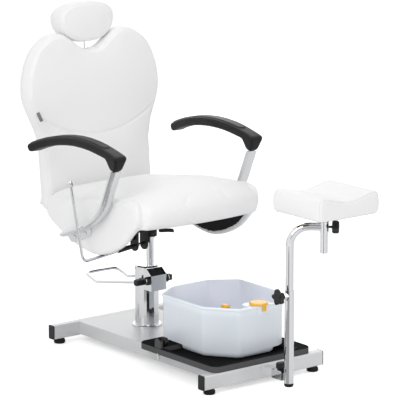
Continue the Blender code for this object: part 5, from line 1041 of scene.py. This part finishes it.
class CHAIR_OT_stage(bpy.types.Operator):
    """Set the pale floor, the soft studio light and the camera"""

    bl_idname = "chair.stage"
    bl_label = "Stage"

    def execute(self, context):
        self.floor()
        self.world(context.scene)
        centre = Vector((0.0, 0.1, 0.5))
        self.lamp("key", (-3.4, -0.9, 2.6), centre, 3.2, 50.0)
        self.lamp("top", (0.4, 0.2, 4.6), centre, 4.0, 41.0)
        self.lamp("fill", (2.4, -3.6, 1.8), centre, 3.0, 18.0)
        self.lamp("rear", (2.5, 3.4, 2.4), centre, 2.5, 18.0)
        self.lamp("low", (-1.1, -3.2, 0.6), Vector((0.0, -0.1, 0.2)), 1.6, 9.0)
        self.card("room_behind_camera", 0.0, 5.0, 5.0, 0.66)
        self.card("right_flag", 50.0, 4.2, 0.8, 0.02)
        self.card("left_flag", -78.0, 4.2, 0.5, 0.40)
        self.floor_card("floor_by_camera", 0.0, 0.6, 4.0, 0.9, 0.42)
        self.camera(context.scene)
        context.scene.view_settings.view_transform = "Standard"
        return {"FINISHED"}

    def aim(self):
        """Unit vector from the chair to the camera, and the picture's right-hand side."""
        level = math.cos(CAMERA_LIFT)
        back = Vector((math.sin(CAMERA_TURN) * level, -math.cos(CAMERA_TURN) * level, math.sin(CAMERA_LIFT)))
        return back, Vector((math.cos(CAMERA_TURN), math.sin(CAMERA_TURN), 0))

    def heading(self, turn):
        """Level unit vector that points this many degrees to the right of the camera."""
        back, right = self.aim()
        level = Vector((back.x, back.y, 0)).normalized()
        return level * math.cos(math.radians(turn)) + right * math.sin(math.radians(turn))

    def prop(self, name, shape, look):
        """An object of the stage made from a bmesh, and the empty node tree of its material."""
        mesh = bpy.data.meshes.new(name)
        shape.to_mesh(mesh)
        shape.free()
        obj = bpy.data.objects.new(name, mesh)
        bpy.context.scene.collection.objects.link(obj)
        mat = bpy.data.materials.new(look)
        mat.use_nodes = True
        mat.node_tree.nodes.clear()
        mesh.materials.append(mat)
        return obj, mat.node_tree

    def floor(self):
        shape = bmesh.new()
        bmesh.ops.create_grid(shape, x_segments=1, y_segments=1, size=25.0)
        floor, tree = self.prop("studio_floor", shape, "white studio floor")
        seen = add_node(tree, "ShaderNodeLightPath").outputs["Is Camera Ray"]
        gain = add_node(tree, "ShaderNodeMath", {0: seen, 1: 0.47}, operation="MULTIPLY")
        matt = add_node(tree, "ShaderNodeBsdfDiffuse", {"Color": (0.94, 0.94, 0.94, 1)})
        glow = add_node(tree, "ShaderNodeEmission", {"Color": (1, 1, 1, 1), "Strength": gain.outputs[0]})
        both = add_node(tree, "ShaderNodeAddShader", {0: matt.outputs[0], 1: glow.outputs[0]})
        add_node(tree, "ShaderNodeOutputMaterial", {"Surface": both.outputs[0]})

    def world(self, scene):
        """White where it is seen or mirrored, and dimmer where it lights the chair."""
        world = bpy.data.worlds.new("studio")
        scene.world = world
        world.use_nodes = True
        tree = world.node_tree
        tree.nodes.clear()
        rays = add_node(tree, "ShaderNodeLightPath").outputs
        seen = rays["Is Camera Ray"]
        for ray in ("Is Glossy Ray", "Is Transmission Ray"):
            seen = add_node(tree, "ShaderNodeMath", {0: seen, 1: rays[ray]}, operation="MAXIMUM").outputs[0]
        level = add_node(tree, "ShaderNodeMapRange", {"Value": seen, "To Min": 0.58, "To Max": 1.0})
        inputs = {"Color": (1, 1, 1, 1), "Strength": level.outputs["Result"]}
        sky = add_node(tree, "ShaderNodeBackground", inputs)
        add_node(tree, "ShaderNodeOutputWorld", {"Surface": sky.outputs[0]})

    def lamp(self, name, place, centre, size, power):
        data = bpy.data.lights.new(name, "AREA")
        data.shape = "DISK"
        data.size = size
        data.energy = power
        lamp = bpy.data.objects.new(name, data)
        lamp.location = place
        lamp.rotation_euler = (Vector(place) - centre).to_track_quat("Z", "Y").to_euler()
        lamp.visible_camera = False
        bpy.context.scene.collection.objects.link(lamp)

    def card(self, name, turn, reach, width, bright):
        """A grey or dark card beside the camera, which draws the streaks on chrome."""
        way = self.heading(turn)
        lie = (-way).to_track_quat("Z", "Y").to_matrix()
        self.glow_card(name, (width, 3.0), lie, Vector((0, PUMP.y, 1.3)) + way * reach, bright)

    def floor_card(self, name, turn, near, far, width, bright):
        """A card on the floor, which the upright tubes mirror because the camera looks down on them."""
        way = self.heading(turn)
        lie = Matrix.Rotation(math.atan2(-way.x, way.y), 3, "Z")
        place = Vector((0, PUMP.y, 0.003)) + way * (near + far) / 2
        self.glow_card(name, (width, far - near), lie, place, bright)

    def glow_card(self, name, size, lie, place, bright):
        """A glowing card that is seen only in reflections."""
        shape = bmesh.new()
        bmesh.ops.create_grid(shape, x_segments=1, y_segments=1, size=0.5)
        bmesh.ops.scale(shape, verts=shape.verts, vec=(*size, 1.0))
        bmesh.ops.rotate(shape, verts=shape.verts, matrix=lie)
        bmesh.ops.translate(shape, verts=shape.verts, vec=place)
        card, tree = self.prop(name, shape, name)
        glow = add_node(tree, "ShaderNodeEmission", {"Color": (1, 1, 1, 1), "Strength": bright})
        add_node(tree, "ShaderNodeOutputMaterial", {"Surface": glow.outputs[0]})
        for ray in ("camera", "diffuse", "shadow", "transmission"):
            setattr(card, f"visible_{ray}", False)

    def camera(self, scene):
        back, _ = self.aim()
        data = bpy.data.cameras.new("camera")
        data.sensor_width = CAMERA_SENSOR
        data.lens = CAMERA_LENS
        data.clip_end = 100.0
        camera = bpy.data.objects.new("camera", data)
        camera.location = CAMERA_TARGET + back * CAMERA_REACH
        camera.rotation_euler = back.to_track_quat("Z", "Y").to_euler()
        scene.collection.objects.link(camera)
        scene.camera = camera


STEPS = (
    CHAIR_OT_stage, CHAIR_OT_metal, CHAIR_OT_mouldings, CHAIR_OT_basin, CHAIR_OT_arm_pads, CHAIR_OT_seat,
    CHAIR_OT_back, CHAIR_OT_head, CHAIR_OT_foot_pad,
)


class CHAIR_PT_panel(bpy.types.Panel):
    """Lists the chair's steps, sizes and colours"""

    bl_label = "Pedicure chair"
    bl_idname = "CHAIR_PT_panel"
    bl_space_type = "VIEW_3D"
    bl_region_type = "UI"
    bl_category = "Pedicure chair"

    def draw(self, context):
        for step in STEPS:
            self.layout.operator(step.bl_idname)
        for group in (context.scene.chair_sizes, context.scene.chair_colours):
            column = self.layout.column()
            for name in group.bl_rna.properties.keys():
                if name not in {"rna_type", "name"}:
                    column.prop(group, name)


CLASSES = (ChairSizes, ChairColours, *STEPS, CHAIR_PT_panel)


def register():
    for cls in CLASSES:
        bpy.utils.register_class(cls)
    bpy.types.Scene.chair_sizes = PointerProperty(type=ChairSizes)
    bpy.types.Scene.chair_colours = PointerProperty(type=ChairColours)


def unregister():
    del bpy.types.Scene.chair_colours
    del bpy.types.Scene.chair_sizes
    for cls in reversed(CLASSES):
        bpy.utils.unregister_class(cls)


def main():
    register()
    bpy.ops.chair.stage()
    bpy.ops.chair.metal()
    bpy.ops.chair.mouldings()
    bpy.ops.chair.basin()
    bpy.ops.chair.arm_pads()
    bpy.ops.chair.seat()
    bpy.ops.chair.back()
    bpy.ops.chair.head()
    bpy.ops.chair.foot_pad()


if __name__ == "__main__":
    main()
